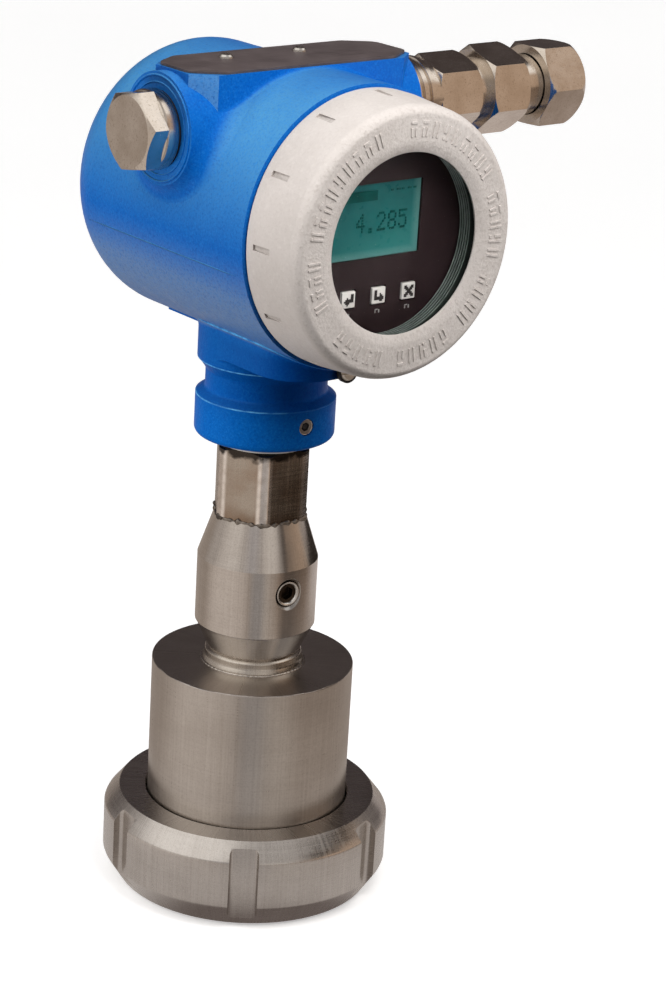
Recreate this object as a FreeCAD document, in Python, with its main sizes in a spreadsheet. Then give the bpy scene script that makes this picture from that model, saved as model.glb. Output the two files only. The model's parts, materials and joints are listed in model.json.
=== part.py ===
import FreeCAD, Part
import math
import os
import Sketcher

# Remote seal pressure transmitter: a slotted union nut on a diaphragm seal, a
# welded sensor body with a hexagon, and a cast head with a screwed window cover,
# a cable gland, a blanking plug and a nameplate.
# Frame: +Z up, origin on the seal axis in the plane of the seal's foot, window
# cover facing -Y, gland on +X, blanking plug on -X. Millimetres.

V = FreeCAD.Vector
doc = FreeCAD.newDocument("pressure_transmitter")
sheet = doc.addObject("Spreadsheet::Sheet", "Dimensions")

DIMENSIONS = [
    # union nut
    ("nut_radius", 46.0), ("nut_foot", 0.8), ("nut_bevel_low", 8.1), ("nut_bevel_high", 23.7),
    ("nut_top", 29.46), ("nut_top_radius", 41.25), ("nut_foot_radius", 41.2),
    ("nut_hole", 32.7), ("nut_root", 38.6), ("nut_crest", 37.4), ("nut_lip", 21.0),
    ("nut_pitch", 4.2), ("nut_slot_width", 9.2), ("nut_slot_floor", 42.8), ("nut_slot_angle", -127.4),
    ("nut_slot_round", 1.4),
    # diaphragm seal
    ("seal_radius", 32.2), ("seal_top", 74.7), ("seal_flange", 36.4), ("seal_flange_low", 13.0),
    ("seal_flange_high", 20.4), ("seal_cone_high", 33.6), ("seal_cone_low", 30.8),
    ("seal_recess", 25.6), ("seal_recess_depth", 0.9), ("seal_chamber", 23.0), ("seal_chamber_top", 1.5),
    ("capillary", 1.5), ("diaphragm_radius", 25.5), ("diaphragm_low", 0.3), ("diaphragm_thick", 0.35),
    # neck between the seal and the sensor body
    ("weld_radius", 15.5), ("weld_foot", 16.4), ("weld_top", 79.0),
    # sensor body
    ("sensor_radius", 19.1), ("sensor_base_radius", 14.6), ("sensor_shoulder_low", 88.3),
    ("sensor_shoulder_high", 110.4), ("sensor_top", 124.6), ("sensor_top_radius", 14.4),
    ("cell_bore", 9.8), ("cell_seat", 100.0), ("cell_radius", 9.5), ("cell_top", 116.0),
    ("lock_ring_top", 121.0), ("fill_height", 102.8), ("fill_angle", -95.0), ("fill_radius", 4.0),
    # hexagon and swivel stub
    ("sensor_hex_af", 28.0), ("hex_turn", -4.0), ("hex_top", 148.0), ("stub_radius", 13.3),
    ("stub_top", 166.0), ("lead_bore", 7.0),
    # head casting
    ("axis_height", 224.5), ("barrel_radius", 42.5), ("barrel_rear", 55.4), ("barrel_front", 39.9),
    ("rear_round", 18.5), ("mouth_bore", 38.0), ("ledge", 27.0), ("chamber_bore", 35.5), ("chamber_rear", 47.0),
    ("chamber_round", 12.0),
    ("saddle_half", 41.2), ("saddle_wide", 15.1), ("saddle_top", 43.0), ("saddle_straight", 34.5),
    ("saddle_nose", 9.4), ("saddle_back", 12.4), ("saddle_nose_back", 6.9), ("conduit_height", 27.1), ("conduit_boss", 16.6), ("conduit_face", 41.6), ("conduit_bore", 9.5),
    ("collar_low", 150.5), ("collar_high", 163.5), ("collar_radius", 21.9), ("collar_bore", 13.6),
    ("waist_radius", 19.0), ("waist_low", 165.4), ("waist_high", 171.5), ("neck_low", 175.2),
    ("neck_radius", 21.7), ("lug_front", 38.0), ("lug_half", 21.55), ("lug_low", 178.4), ("lug_round", 15.0),
    ("set_screw_height", 158.2), ("set_screw_angle", -91.6), ("set_screw_radius", 2.6),
    ("earth_drop", 43.9), ("cast_round", 2.0), ("boss_round", 6.0), ("saddle_round", 1.5),
    # nameplate
    ("plate_thick", 0.8), ("plate_half", 40.7), ("plate_wide", 14.8), ("plate_straight", 31.5), ("plate_nose", 8.6),
    ("plate_back", 12.1), ("plate_nose_back", 6.3),
    ("plate_screw_left", 18.5), ("plate_screw_right", 8.8), ("plate_screw_back", 3.2),
    # blanking plug
    ("plug_face", 44.6), ("plug_height", 25.7), ("plug_af", 22.0), ("plug_end", 55.5), ("plug_flange", 11.9), ("plug_flange_end", 50.0), ("plug_turn", 40.5),
    ("gasket_thick", 0.9), ("thread_radius", 9.3),
    # cable gland
    ("entry_af", 22.4), ("entry_hex", 54.4), ("entry_end", 71.6), ("middle_af", 24.6), ("middle_hex", 75.2),
    ("middle_end", 90.4), ("cap_hex", 98.4), ("cap_end", 115.4), ("cap_af", 24.8),
    ("cable_bore", 5.0),
    # window cover
    ("cover_rear", 40.2), ("cover_radius", 41.5), ("cover_band", 44.6), ("bezel_radius", 40.1), ("bezel_round", 4.0),
    ("cover_face", 62.3), ("window_radius", 26.8),
    ("cover_lip", 60.4), ("glass_bore", 31.5), ("cover_hollow", 34.2), ("spigot_radius", 37.6), ("spigot_end", 30.2),
    ("glass_radius", 31.2), ("glass_front", 59.9), ("glass_rear", 57.1), ("ring_rear", 51.7), ("ring_hole", 28.6),
    ("notch_width", 1.8), ("notch_length", 7.0), ("notch_depth", 0.7), ("notch_start", 3.4),
    # display
    ("face_front", 50.4), ("face_radius", 31.0), ("face_thick", 0.9), ("lcd_wide", 34.0), ("lcd_high", 22.0),
    ("lcd_rise", 4.9), ("lcd_shift", 2.5), ("key_side", 5.0), ("key_pitch", 11.3), ("key_drop", 17.6), ("board_radius", 30.5),
]
VALUE = {}
for row, (alias, number) in enumerate(DIMENSIONS, start=1):
    sheet.set("A%d" % row, alias)
    sheet.set("B%d" % row, "%g" % number)
    sheet.setAlias("B%d" % row, alias)
doc.recompute()
for alias, number in DIMENSIONS:
    VALUE[alias] = float(sheet.get(alias))


# A size is written as a sum of terms such as "nut_top - 0.3" or "0.5*plug_af";
# the first function gives its number and the second the matching sheet formula.
def terms(text):
    out, sign = [], 1.0
    for word in str(text).split():
        if word == "+":
            sign = 1.0
        elif word == "-":
            sign = -1.0
        else:
            out.append((sign, word.split("*")))
            sign = 1.0
    return out


def num(text):
    total = 0.0
    for sign, factors in terms(text):
        product = sign
        for f in factors:
            product *= VALUE[f] if f in VALUE else float(f)
        total += product
    return total


def formula(text):
    words = []
    for sign, factors in terms(text):
        product = " * ".join("Dimensions." + f if f in VALUE else "(%s)" % f for f in factors)
        words.append(("- " if sign < 0 else "+ ") + product)
    out = " ".join(words)
    return out[2:] if out.startswith("+ ") else "0 " + out


AIM = {
    "z": FreeCAD.Rotation(), "down": FreeCAD.Rotation(V(1, 0, 0), 180),
    "front": FreeCAD.Rotation(V(1, 0, 0), 90), "back": FreeCAD.Rotation(V(1, 0, 0), -90),
    "right": FreeCAD.Rotation(V(0, 1, 0), 90), "left": FreeCAD.Rotation(V(0, 1, 0), -90),
}


def place(obj, base=("0", "0", "0"), aim="z", turn=0.0):
    spin = FreeCAD.Rotation(V(0, 0, 1), turn)
    rot = (AIM[aim] if isinstance(aim, str) else aim).multiply(spin)
    obj.Placement = FreeCAD.Placement(V(*[num(b) for b in base]), rot)
    for letter, b in zip("xyz", base):
        obj.setExpression("Placement.Base." + letter, formula(b))
    return obj


def cyl(name, radius, height, base=("0", "0", "0"), aim="z", turn=0.0):
    o = doc.addObject("Part::Cylinder", name)
    o.setExpression("Radius", formula(radius))
    o.setExpression("Height", formula(height))
    return place(o, base, aim, turn)


def box(name, size, base=("0", "0", "0"), aim="z", turn=0.0):
    o = doc.addObject("Part::Box", name)
    for prop, s in zip(("Length", "Width", "Height"), size):
        o.setExpression(prop, formula(s))
    return place(o, base, aim, turn)


def prism(name, across_flats, height, base=("0", "0", "0"), aim="z", turn=0.0):
    o = doc.addObject("Part::Prism", name)
    o.Polygon = 6
    o.setExpression("Circumradius", formula("0.57735027*" + across_flats))
    o.setExpression("Height", formula(height))
    return place(o, base, aim, turn)


def torus(name, ring, section, base=("0", "0", "0"), aim="z"):
    o = doc.addObject("Part::Torus", name)
    o.setExpression("Radius1", formula(ring))
    o.setExpression("Radius2", formula(section))
    return place(o, base, aim)


def fuse(name, *shapes):
    o = doc.addObject("Part::MultiFuse", name)
    o.Shapes = list(shapes)
    return o


def both(name, *shapes):
    o = doc.addObject("Part::MultiCommon", name)
    o.Shapes = list(shapes)
    return o


def cut(name, base, *tools):
    o = doc.addObject("Part::Cut", name)
    o.Base = base
    o.Tool = tools[0] if len(tools) == 1 else fuse(name + "_tools", *tools)
    return o


def origin_plane(body, role):
    return [f for f in body.Origin.OriginFeatures if f.Role == role][0]


# Closed straight-sided outline with every corner dimensioned from the sketch origin.
def outline(body, name, role, corners):
    sk = body.newObject("Sketcher::SketchObject", name)
    sk.AttachmentSupport = (origin_plane(body, role), [""])
    sk.MapMode = "FlatFace"
    pts = [V(num(a), num(b), 0) for a, b in corners]
    n = len(pts)
    sk.addGeometry([Part.LineSegment(pts[i], pts[(i + 1) % n]) for i in range(n)], False)
    cons = [Sketcher.Constraint("Coincident", i, 2, (i + 1) % n, 1) for i in range(n)]
    bound = []
    for i, (a, b) in enumerate(corners):
        if abs(pts[i].x) < 1e-9:
            cons.append(Sketcher.Constraint("PointOnObject", i, 1, -2))
        else:
            bound.append((len(cons), a))
            cons.append(Sketcher.Constraint("DistanceX", -1, 1, i, 1, pts[i].x))
        if abs(pts[i].y) < 1e-9:
            cons.append(Sketcher.Constraint("PointOnObject", i, 1, -1))
        else:
            bound.append((len(cons), b))
            cons.append(Sketcher.Constraint("DistanceY", -1, 1, i, 1, pts[i].y))
    sk.addConstraint(cons)
    for index, text in bound:
        sk.setExpression("Constraints[%d]" % index, formula(text))
    return sk


# Turned piece: corners are (radius, distance along the axis).
def turned(name, corners, base=("0", "0", "0"), aim="z"):
    body = doc.addObject("PartDesign::Body", name)
    sk = outline(body, name + "_profile", "XZ_Plane", corners)
    rev = body.newObject("PartDesign::Revolution", name + "_turned")
    rev.Profile = sk
    rev.ReferenceAxis = (sk, ["V_Axis"])
    rev.Angle = 360.0
    sk.Visibility = False
    return place(body, base, aim)


# Flat piece: corners in the plan, padded upwards.
def padded(name, corners, height, base=("0", "0", "0"), aim="z"):
    body = doc.addObject("PartDesign::Body", name)
    sk = outline(body, name + "_plan", "XY_Plane", corners)
    pad = body.newObject("PartDesign::Pad", name + "_pad")
    pad.Profile = sk
    pad.setExpression("Length", formula(height))
    return place(body, base, aim)


def edges_of(shape, test):
    return [i for i, e in enumerate(shape.Edges, start=1) if test(e)]


# Round chosen edges of a finished object.
def rounded(name, base, radius, test):
    doc.recompute()
    o = doc.addObject("Part::Fillet", name)
    o.Base = base
    o.Edges = [(i, num(radius), num(radius)) for i in edges_of(base.Shape, test)]
    return o


# Round corners of a turned piece: marks are (radius, distance) corners of its profile.
def eased(body, radius, *marks):
    doc.recompute()
    tip = body.Tip
    want = [(num(a), num(b)) for a, b in marks]
    names = []
    for i, e in enumerate(tip.Shape.Edges, start=1):
        if isinstance(e.Curve, Part.Circle):
            r, z = e.Curve.Radius, e.Curve.Center.z
            if any(abs(r - wr) < 1e-3 and abs(z - wz) < 1e-3 for wr, wz in want):
                names.append("Edge%d" % i)
    if len(names) < len(want):
        raise RuntimeError("corner not found on " + body.Name)
    f = body.newObject("PartDesign::Fillet", "%s_round_%d" % (body.Name, len(body.Group)))
    f.Base = (tip, names)
    f.setExpression("Radius", formula(radius))
    body.Tip = f
    return body


NODES = {}


def node(name, obj):
    obj.Label = name
    NODES[name] = obj
    return obj


def radial(angle):
    a = math.radians(angle)
    return FreeCAD.Rotation(V(0, 0, 1), V(math.cos(a), math.sin(a), 0)), math.cos(a), math.sin(a)


# ---------------------------------------------------------------- diaphragm seal
node("seal_body", turned("seal_body", [
    ("capillary", "seal_chamber_top"), ("seal_chamber", "seal_chamber_top"), ("seal_chamber", "seal_recess_depth"),
    ("seal_recess", "seal_recess_depth"), ("seal_recess", "0"), ("seal_cone_low", "0"),
    ("seal_cone_high", "seal_flange_low - 1.5"), ("seal_flange - 0.6", "seal_flange_low - 1.5"),
    ("seal_flange", "seal_flange_low - 0.9"), ("seal_flange", "seal_flange_high - 0.5"),
    ("seal_flange - 0.5", "seal_flange_high"), ("seal_radius", "seal_flange_high"),
    ("seal_radius", "seal_top - 0.25"), ("seal_radius - 0.25", "seal_top"), ("capillary", "seal_top")]))

# thin membrane with pressed rings
wave = []
rings = 5
for k in range(2 * rings + 1):
    r = 6.0 + k * 1.5
    wave.append((r, 0.0 if k % 2 == 0 else 0.22))
low = [("0", "diaphragm_low")] + [("%g" % r, "diaphragm_low + %g" % z) for r, z in wave] + [("diaphragm_radius", "diaphragm_low")]
high = [(a, b + " + diaphragm_thick") for a, b in reversed(low)]
node("diaphragm", turned("diaphragm", low + high))

node("weld_neck", turned("weld_neck", [
    ("capillary", "seal_top"), ("weld_foot", "seal_top"), ("weld_foot - 0.2", "seal_top + 0.7"),
    ("weld_radius + 0.3", "seal_top + 1.5"), ("weld_radius", "seal_top + 2.1"), ("weld_radius", "weld_top - 0.8"),
    ("weld_radius - 0.9", "weld_top"), ("capillary", "weld_top")]))

# ---------------------------------------------------------------- sensor body
sensor_turned = turned("sensor_blank", [
    ("capillary", "weld_top"), ("sensor_base_radius", "weld_top"), ("sensor_radius - 0.4", "sensor_shoulder_low - 0.5"),
    ("sensor_radius", "sensor_shoulder_low + 0.1"), ("sensor_radius", "sensor_shoulder_high"),
    ("sensor_top_radius", "sensor_top"), ("cell_bore", "sensor_top"), ("cell_bore", "cell_seat"), ("capillary", "cell_seat")])
fill_rot, fc, fs = radial(num("fill_angle"))
fill_hole = cyl("fill_hole", "fill_radius + 0.15", "12",
                ("%.6f" % (13.6 * fc), "%.6f" % (13.6 * fs), "fill_height"), fill_rot)
fill_sink = doc.addObject("Part::Cone", "fill_sink")
fill_sink.setExpression("Radius1", formula("fill_radius + 0.1"))
fill_sink.setExpression("Radius2", formula("fill_radius + 1.6"))
fill_sink.Height = 1.5
place(fill_sink, ("%.6f" % (17.9 * fc), "%.6f" % (17.9 * fs), "fill_height"), fill_rot)
node("sensor_body", cut("sensor_body", sensor_turned, fill_hole, fill_sink))

fill_pin = cyl("fill_pin", "fill_radius", "4.1", ("%.6f" % (13.7 * fc), "%.6f" % (13.7 * fs), "fill_height"), fill_rot)
fill_key = doc.addObject("Part::Prism", "fill_key")
fill_key.Polygon = 6
fill_key.Circumradius = 2.3
fill_key.Height = 4.0
place(fill_key, ("%.6f" % (15.6 * fc), "%.6f" % (15.6 * fs), "fill_height"), fill_rot, 20.0)
node("fill_screw", cut("fill_screw", fill_pin, fill_key))

node("sensor_cell", turned("sensor_cell", [
    ("0", "cell_seat + 0.3"), ("7.2", "cell_seat + 0.3"), ("7.2", "cell_seat + 1.2"), ("cell_radius", "cell_seat + 1.2"),
    ("cell_radius", "cell_seat + 5"), ("8.0", "cell_seat + 5"), ("8.0", "cell_seat + 7.2"),
    ("cell_radius", "cell_seat + 7.2"), ("cell_radius", "cell_top - 2"), ("6.2", "cell_top - 2"),
    ("6.2", "cell_top"), ("0", "cell_top")]))
node("cell_oring", torus("cell_oring", "8.85", "0.8", ("0", "0", "cell_seat + 6.1")))
node("cell_lock_ring", turned("cell_lock_ring", [
    ("6.6", "cell_top - 1.9"), ("cell_radius", "cell_top - 1.9"), ("cell_radius", "lock_ring_top"), ("6.6", "lock_ring_top")]))

# hexagon welded on the sensor body, with the swivel stub that the head turns on
hex_bar = prism("hex_bar", "sensor_hex_af", "hex_top - sensor_top", ("0", "0", "sensor_top"), "z", num("hex_turn"))
hex_limit = turned("hex_limit", [
    ("0", "sensor_top"), ("14.6", "sensor_top"), ("15.3", "sensor_top + 0.7"), ("15.3", "hex_top - 0.9"),
    ("13.9", "hex_top"), ("0", "hex_top")])
hex_head = both("hex_head", hex_bar, hex_limit)
stub = turned("stub", [
    ("lead_bore", "sensor_top + 6"), ("stub_radius - 1.2", "sensor_top + 6"), ("stub_radius - 1.2", "hex_top + 1.6"),
    ("stub_radius", "hex_top + 2.4"), ("stub_radius", "stub_top - 1"), ("stub_radius - 1", "stub_top"), ("lead_bore", "stub_top")])
hex_bore = cyl("hex_bore", "lead_bore", "60", ("0", "0", "sensor_top - 1"))
node("sensor_hex", cut("sensor_hex", fuse("hex_solid", hex_head, stub), hex_bore))

# ---------------------------------------------------------------- union nut
nut_profile = [("nut_hole", "nut_lip"), ("nut_hole", "nut_top - 0.4"), ("nut_hole + 0.4", "nut_top"),
               ("nut_top_radius", "nut_top"), ("nut_radius - 0.35", "nut_bevel_high + 0.35"), ("nut_radius", "nut_bevel_high - 0.5"),
               ("nut_radius", "nut_bevel_low + 0.5"), ("nut_radius - 0.35", "nut_bevel_low - 0.4"),
               ("nut_foot_radius", "nut_foot"), ("nut_root + 0.4", "nut_foot")]
for k in range(4):
    at = "nut_foot + %g + %g*nut_pitch" % (0.5, k)
    nut_profile += [("nut_root", at), ("nut_root", at + " + 1.5"), ("nut_crest", at + " + 2.3"), ("nut_crest", at + " + 3.1")]
nut_profile += [("nut_root", "nut_foot + 0.8 + 4*nut_pitch"), ("nut_root", "nut_lip")]
nut_blank = turned("nut_blank", nut_profile)
slots = []
for k in range(6):
    rot = num("nut_slot_angle") + 60.0 * k
    a = math.radians(rot)
    f, w = num("nut_slot_floor"), num("nut_slot_width")
    sx = f * math.cos(a) + 0.5 * w * math.sin(a)
    sy = f * math.sin(a) - 0.5 * w * math.cos(a)
    slot = box("nut_slot_%d" % k, ("8", "nut_slot_width", "nut_top + 2"), ("%.6f" % sx, "%.6f" % sy, "nut_foot - 1"),
               FreeCAD.Rotation(V(0, 0, 1), rot))
    slots.append(rounded("nut_slot_round_%d" % k, slot, "nut_slot_round",
                         lambda e: abs(e.Vertexes[0].Z - e.Vertexes[-1].Z) > 5
                         and math.hypot(e.Vertexes[0].X, e.Vertexes[0].Y) < 46.0))
node("union_nut", cut("union_nut", nut_blank, *slots))

# ---------------------------------------------------------------- head casting
HEAD = ("0", "0", "axis_height")
barrel = turned("barrel", [("0", "0 - barrel_rear"), ("barrel_radius", "0 - barrel_rear"), ("barrel_radius", "barrel_front"),
                           ("0", "barrel_front")], HEAD, "front")
eased(barrel, "rear_round", ("barrel_radius", "0 - barrel_rear"))

saddle = padded("saddle", [
    ("0 - saddle_half", "saddle_nose_back"), ("0 - saddle_half", "0 - saddle_nose"), ("0 - saddle_straight", "0 - saddle_wide"),
    ("saddle_straight", "0 - saddle_wide"), ("saddle_half", "0 - saddle_nose"), ("saddle_half", "saddle_nose_back"),
    ("saddle_straight", "saddle_back"), ("0 - saddle_straight", "saddle_back")], "saddle_top - 17", ("0", "0", "axis_height + 17"))
boss_right = cyl("boss_right", "conduit_boss", "conduit_face", ("0", "0", "axis_height + conduit_height"), "right")
boss_left = cyl("boss_left", "conduit_boss", "plug_face", ("0", "0", "axis_height + plug_height"), "left")
boss_trim = box("boss_trim", ("plug_face + conduit_face", "2*conduit_boss", "saddle_top"), ("0 - plug_face", "0 - conduit_boss", "axis_height"))
boss = both("boss_solid", fuse("boss_bars", boss_right, boss_left), boss_trim)

neck = turned("neck", [
    ("0", "collar_low"), ("collar_radius", "collar_low"), ("collar_radius", "collar_high"), ("waist_radius", "waist_low"),
    ("waist_radius", "waist_high"), ("neck_radius", "neck_low"),
    ("neck_radius", "axis_height - 20"), ("0", "axis_height - 20")])
eased(neck, "1.9", ("collar_radius", "collar_low"))
eased(neck, "1.2", ("collar_radius", "collar_high"))
eased(neck, "0.8", ("waist_radius", "waist_low"), ("waist_radius", "waist_high"))
eased(neck, "1.6", ("neck_radius", "neck_low"))
lug = padded("lug", [
    ("0 - lug_half", "0"), ("0 - lug_half", "0 - lug_front"), ("lug_half", "0 - lug_front"), ("lug_half", "0")],
    "axis_height - lug_low - 24", ("0", "0", "lug_low"))
doc.recompute()
lug_pad = lug.Tip
lug_edges = ["Edge%d" % i for i in edges_of(lug_pad.Shape, lambda e: abs(e.Vertexes[0].Z - e.Vertexes[-1].Z) > 5
                                            and abs(e.Vertexes[0].Y + num("lug_front")) < 1e-3)]
lug_ease = lug.newObject("PartDesign::Fillet", "lug_ease")
lug_ease.Base = (lug_pad, lug_edges)
lug_ease.setExpression("Radius", formula("lug_round"))
lug.Tip = lug_ease
keel = box("keel", ("15", "barrel_rear - 13", "12"), ("0 - 7.5", "0", "axis_height - 44.1"))
head_joined = fuse("head_joined", barrel, saddle, boss, neck, lug, keel)


# Cast fillets where the saddle, bosses, lug and neck run into the barrel. An edge is
# picked by its kind and by the middle of its length, measured from the barrel's axis.
def middle(edge):
    c = edge.CenterOfMass
    return abs(c.x), c.y, c.z - num("axis_height")


def saddle_foot(edge):
    x, y, z = middle(edge)
    return isinstance(edge.Curve, Part.Circle) and min(abs(y + num("saddle_wide")), abs(y - num("saddle_back"))) < 0.3 and 36 < z < 43 and x < 9


def boss_foot(edge):
    x, y, z = middle(edge)
    return isinstance(edge.Curve, Part.BSplineCurve) and 14 < z < 30 and x > 28 and edge.Length > 20


def lug_foot(edge):
    x, y, z = middle(edge)
    plain = not isinstance(edge.Curve, Part.Circle) or abs(y + num("lug_front")) < 0.5
    return (plain and edge.Length > 2.4 and -43.2 < z < -30 and -39 < y < 42
            and not (isinstance(edge.Curve, Part.Line) and abs(edge.Vertexes[0].Z - edge.Vertexes[-1].Z) > 1))


def lug_neck(edge):
    x, y, z = middle(edge)
    return isinstance(edge.Curve, Part.Circle) and edge.Length > 50 and abs(z + num("axis_height - lug_low")) < 0.2


head_a = rounded("head_boss_foot", head_joined, "boss_round", boss_foot)
head_b = rounded("head_saddle_foot", head_a, "saddle_round", saddle_foot)
head_c = rounded("head_lug_foot", head_b, "cast_round", lug_foot)
head_outer = rounded("head_outer", head_c, "0.6*cast_round", lug_neck)

mouth = cyl("mouth", "mouth_bore", "barrel_front - ledge + 1", ("0", "0 - ledge", "axis_height"), "front")
chamber = turned("chamber", [("0", "0 - chamber_rear"), ("chamber_bore", "0 - chamber_rear"), ("chamber_bore", "ledge"),
                             ("0", "ledge")], HEAD, "front")
eased(chamber, "chamber_round", ("chamber_bore", "0 - chamber_rear"))
conduit = cyl("conduit", "conduit_bore", "conduit_face + 2", ("0", "0", "axis_height + conduit_height"), "right")
plug_bore = cyl("plug_bore", "conduit_bore", "plug_face + 2", ("0", "0", "axis_height + plug_height"), "left")
swivel_bore = cyl("swivel_bore", "collar_bore", "axis_height - collar_low - 25", ("0", "0", "collar_low - 1"))
set_rot, sc, ss = radial(num("set_screw_angle"))
set_hole = cyl("set_hole", "set_screw_radius + 0.1", "14", ("%.6f" % (10.0 * sc), "%.6f" % (10.0 * ss), "set_screw_height"), set_rot)
earth_hole = cyl("earth_hole", "1.7", "10", ("0", "9 - lug_front", "axis_height - earth_drop"), "front")
earth_spot = cyl("earth_spot", "4.0", "4", ("0", "0 - lug_front", "axis_height - earth_drop"), "front")
plate_hole_a = cyl("plate_hole_a", "1.15", "5", ("0 - plate_screw_left", "plate_screw_back", "axis_height + saddle_top - 4.6"))
plate_hole_b = cyl("plate_hole_b", "1.15", "5", ("plate_screw_right", "plate_screw_back", "axis_height + saddle_top - 4.6"))
node("housing", cut("housing", head_outer, mouth, chamber, conduit, plug_bore, swivel_bore, set_hole, earth_hole, earth_spot, plate_hole_a, plate_hole_b))

# ---------------------------------------------------------------- small pieces on the head
plate_blank = padded("plate_blank", [
    ("0 - plate_half", "plate_nose_back"), ("0 - plate_half", "0 - plate_nose"),
    ("0 - plate_straight", "0 - plate_wide"), ("plate_straight", "0 - plate_wide"),
    ("plate_half", "0 - plate_nose"), ("plate_half", "plate_nose_back"),
    ("plate_straight", "plate_back"), ("0 - plate_straight", "plate_back")],
    "plate_thick", ("0", "0", "axis_height + saddle_top"))
plate_round = rounded("plate_round", plate_blank, "4.5",
                      lambda e: abs(e.Vertexes[0].X - e.Vertexes[-1].X) < 1e-6 and abs(e.Vertexes[0].Y - e.Vertexes[-1].Y) < 1e-6)
plate_cut_a = cyl("plate_cut_a", "1.25", "4", ("0 - plate_screw_left", "plate_screw_back", "axis_height + saddle_top - 1"))
plate_cut_b = cyl("plate_cut_b", "1.25", "4", ("plate_screw_right", "plate_screw_back", "axis_height + saddle_top - 1"))
node("nameplate", cut("nameplate", plate_round, plate_cut_a, plate_cut_b))


def dome_screw(name, x):
    return turned(name, [("0", "0 - 4.8"), ("1.05", "0 - 4.8"), ("1.05", "0"), ("2.2", "0"), ("2.15", "0.5"), ("1.75", "1.05"),
                         ("1.0", "1.4"), ("0", "1.5")],
                  (x, "plate_screw_back", "axis_height + saddle_top + plate_thick"))


node("nameplate_screws", fuse("nameplate_screws", dome_screw("plate_screw_a", "0 - plate_screw_left"),
                              dome_screw("plate_screw_b", "plate_screw_right")))

set_pin = cyl("set_pin", "set_screw_radius", "7.2", ("%.6f" % (14.0 * sc), "%.6f" % (14.0 * ss), "set_screw_height"), set_rot)
set_key = doc.addObject("Part::Prism", "set_key")
set_key.Polygon = 6
set_key.Circumradius = 1.5
set_key.Height = 4.0
place(set_key, ("%.6f" % (18.6 * sc), "%.6f" % (18.6 * ss), "set_screw_height"), set_rot, 12.0)
node("neck_set_screw", cut("neck_set_screw", set_pin, set_key))

EARTH = ("0", "0 - lug_front", "axis_height - earth_drop")
node("ground_washer", turned("ground_washer", [
    ("1.75", "0"), ("3.5", "0"), ("3.5", "1.5"), ("3.1", "1.5"), ("3.1", "0.6"), ("1.75", "0.6")], EARTH, "front"))
ground_blank = turned("ground_blank", [("0", "0 - 8"), ("1.6", "0 - 8"), ("1.6", "0.6"), ("2.8", "0.6"), ("2.8", "1.6"),
                                       ("2.2", "2.3"), ("0", "2.5")], EARTH, "front")
ground_slot = box("ground_slot", ("7", "2", "0.8"), ("0 - 3.5", "0 - lug_front - 3.4", "axis_height - earth_drop - 0.4"))
node("ground_screw", cut("ground_screw", ground_blank, ground_slot))

# blanking plug and its gasket
CONDUIT_LEFT = ("0", "0", "axis_height + plug_height")
node("plug_gasket", turned("plug_gasket", [
    ("thread_radius + 0.3", "plug_face"), ("plug_flange - 0.4", "plug_face"), ("plug_flange - 0.4", "plug_face + gasket_thick"),
    ("thread_radius + 0.3", "plug_face + gasket_thick")], CONDUIT_LEFT, "left"))
plug_shank = turned("plug_shank", [
    ("0", "plug_face - 13"), ("thread_radius - 0.8", "plug_face - 13"), ("thread_radius", "plug_face - 12.2"),
    ("thread_radius", "plug_face + gasket_thick"), ("plug_flange", "plug_face + gasket_thick"),
    ("plug_flange", "plug_flange_end - 1.1"), ("plug_flange - 0.35", "plug_flange_end - 0.35"), ("plug_flange - 1.1", "plug_flange_end"), ("0", "plug_flange_end")],
    CONDUIT_LEFT, "left")
plug_bar = prism("plug_bar", "plug_af", "plug_end - plug_flange_end + 0.5",
                 ("0.5 - plug_flange_end", "0", "axis_height + plug_height"), "left", num("plug_turn"))
plug_limit = turned("plug_limit", [("0", "plug_flange_end - 1"), ("13.4", "plug_flange_end - 1"), ("13.4", "plug_end - 1.7"),
                                   ("10.5", "plug_end"), ("0", "plug_end")], CONDUIT_LEFT, "left")
node("stop_plug", fuse("stop_plug", plug_shank, both("plug_hex", plug_bar, plug_limit)))

# cable gland: entry body, middle body, seal bush, clamp ring and cap nut
GLAND = ("0", "0", "axis_height + conduit_height")
GLAND_TURN = 49.0
node("gland_gasket", turned("gland_gasket", [
    ("thread_radius + 0.3", "conduit_face"), ("12.3", "conduit_face"), ("12.3", "conduit_face + 1.6"),
    ("thread_radius + 0.3", "conduit_face + 1.6")], GLAND, "right"))
entry_turned = turned("entry_turned", [
    ("6.2", "conduit_face - 13"), ("thread_radius - 0.8", "conduit_face - 13"), ("thread_radius", "conduit_face - 12.2"),
    ("thread_radius", "conduit_face + 1.6"), ("12.2", "conduit_face + 1.6"), ("12.6", "conduit_face + 2.2"),
    ("12.6", "conduit_face + 3.8"), ("11.7", "conduit_face + 4.2"), ("11.7", "conduit_face + 4.7"),
    ("12.6", "conduit_face + 5.1"), ("12.6", "conduit_face + 6.7"), ("11.7", "conduit_face + 7.1"), ("11.7", "conduit_face + 7.6"),
    ("12.6", "conduit_face + 8.0"), ("12.6", "conduit_face + 9.6"), ("11.4", "conduit_face + 10.4"),
    ("11.4", "entry_hex + 0.5"), ("8.6", "entry_hex + 0.5"), ("8.6", "entry_hex - 6"), ("6.2", "entry_hex - 6")], GLAND, "right")
entry_bar = prism("entry_bar", "entry_af", "entry_end - entry_hex", ("entry_hex", "0", "axis_height + conduit_height"), "right", GLAND_TURN)
entry_limit = turned("entry_limit", [
    ("8.6", "entry_hex"), ("11.7", "entry_hex"), ("13.1", "entry_hex + 0.9"), ("13.1", "entry_end"), ("8.6", "entry_end")],
    GLAND, "right")
eased(entry_limit, "3.6", ("13.1", "entry_end"))
node("gland_entry_body", fuse("gland_entry_body", entry_turned, both("entry_hex_solid", entry_bar, entry_limit)))

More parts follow.
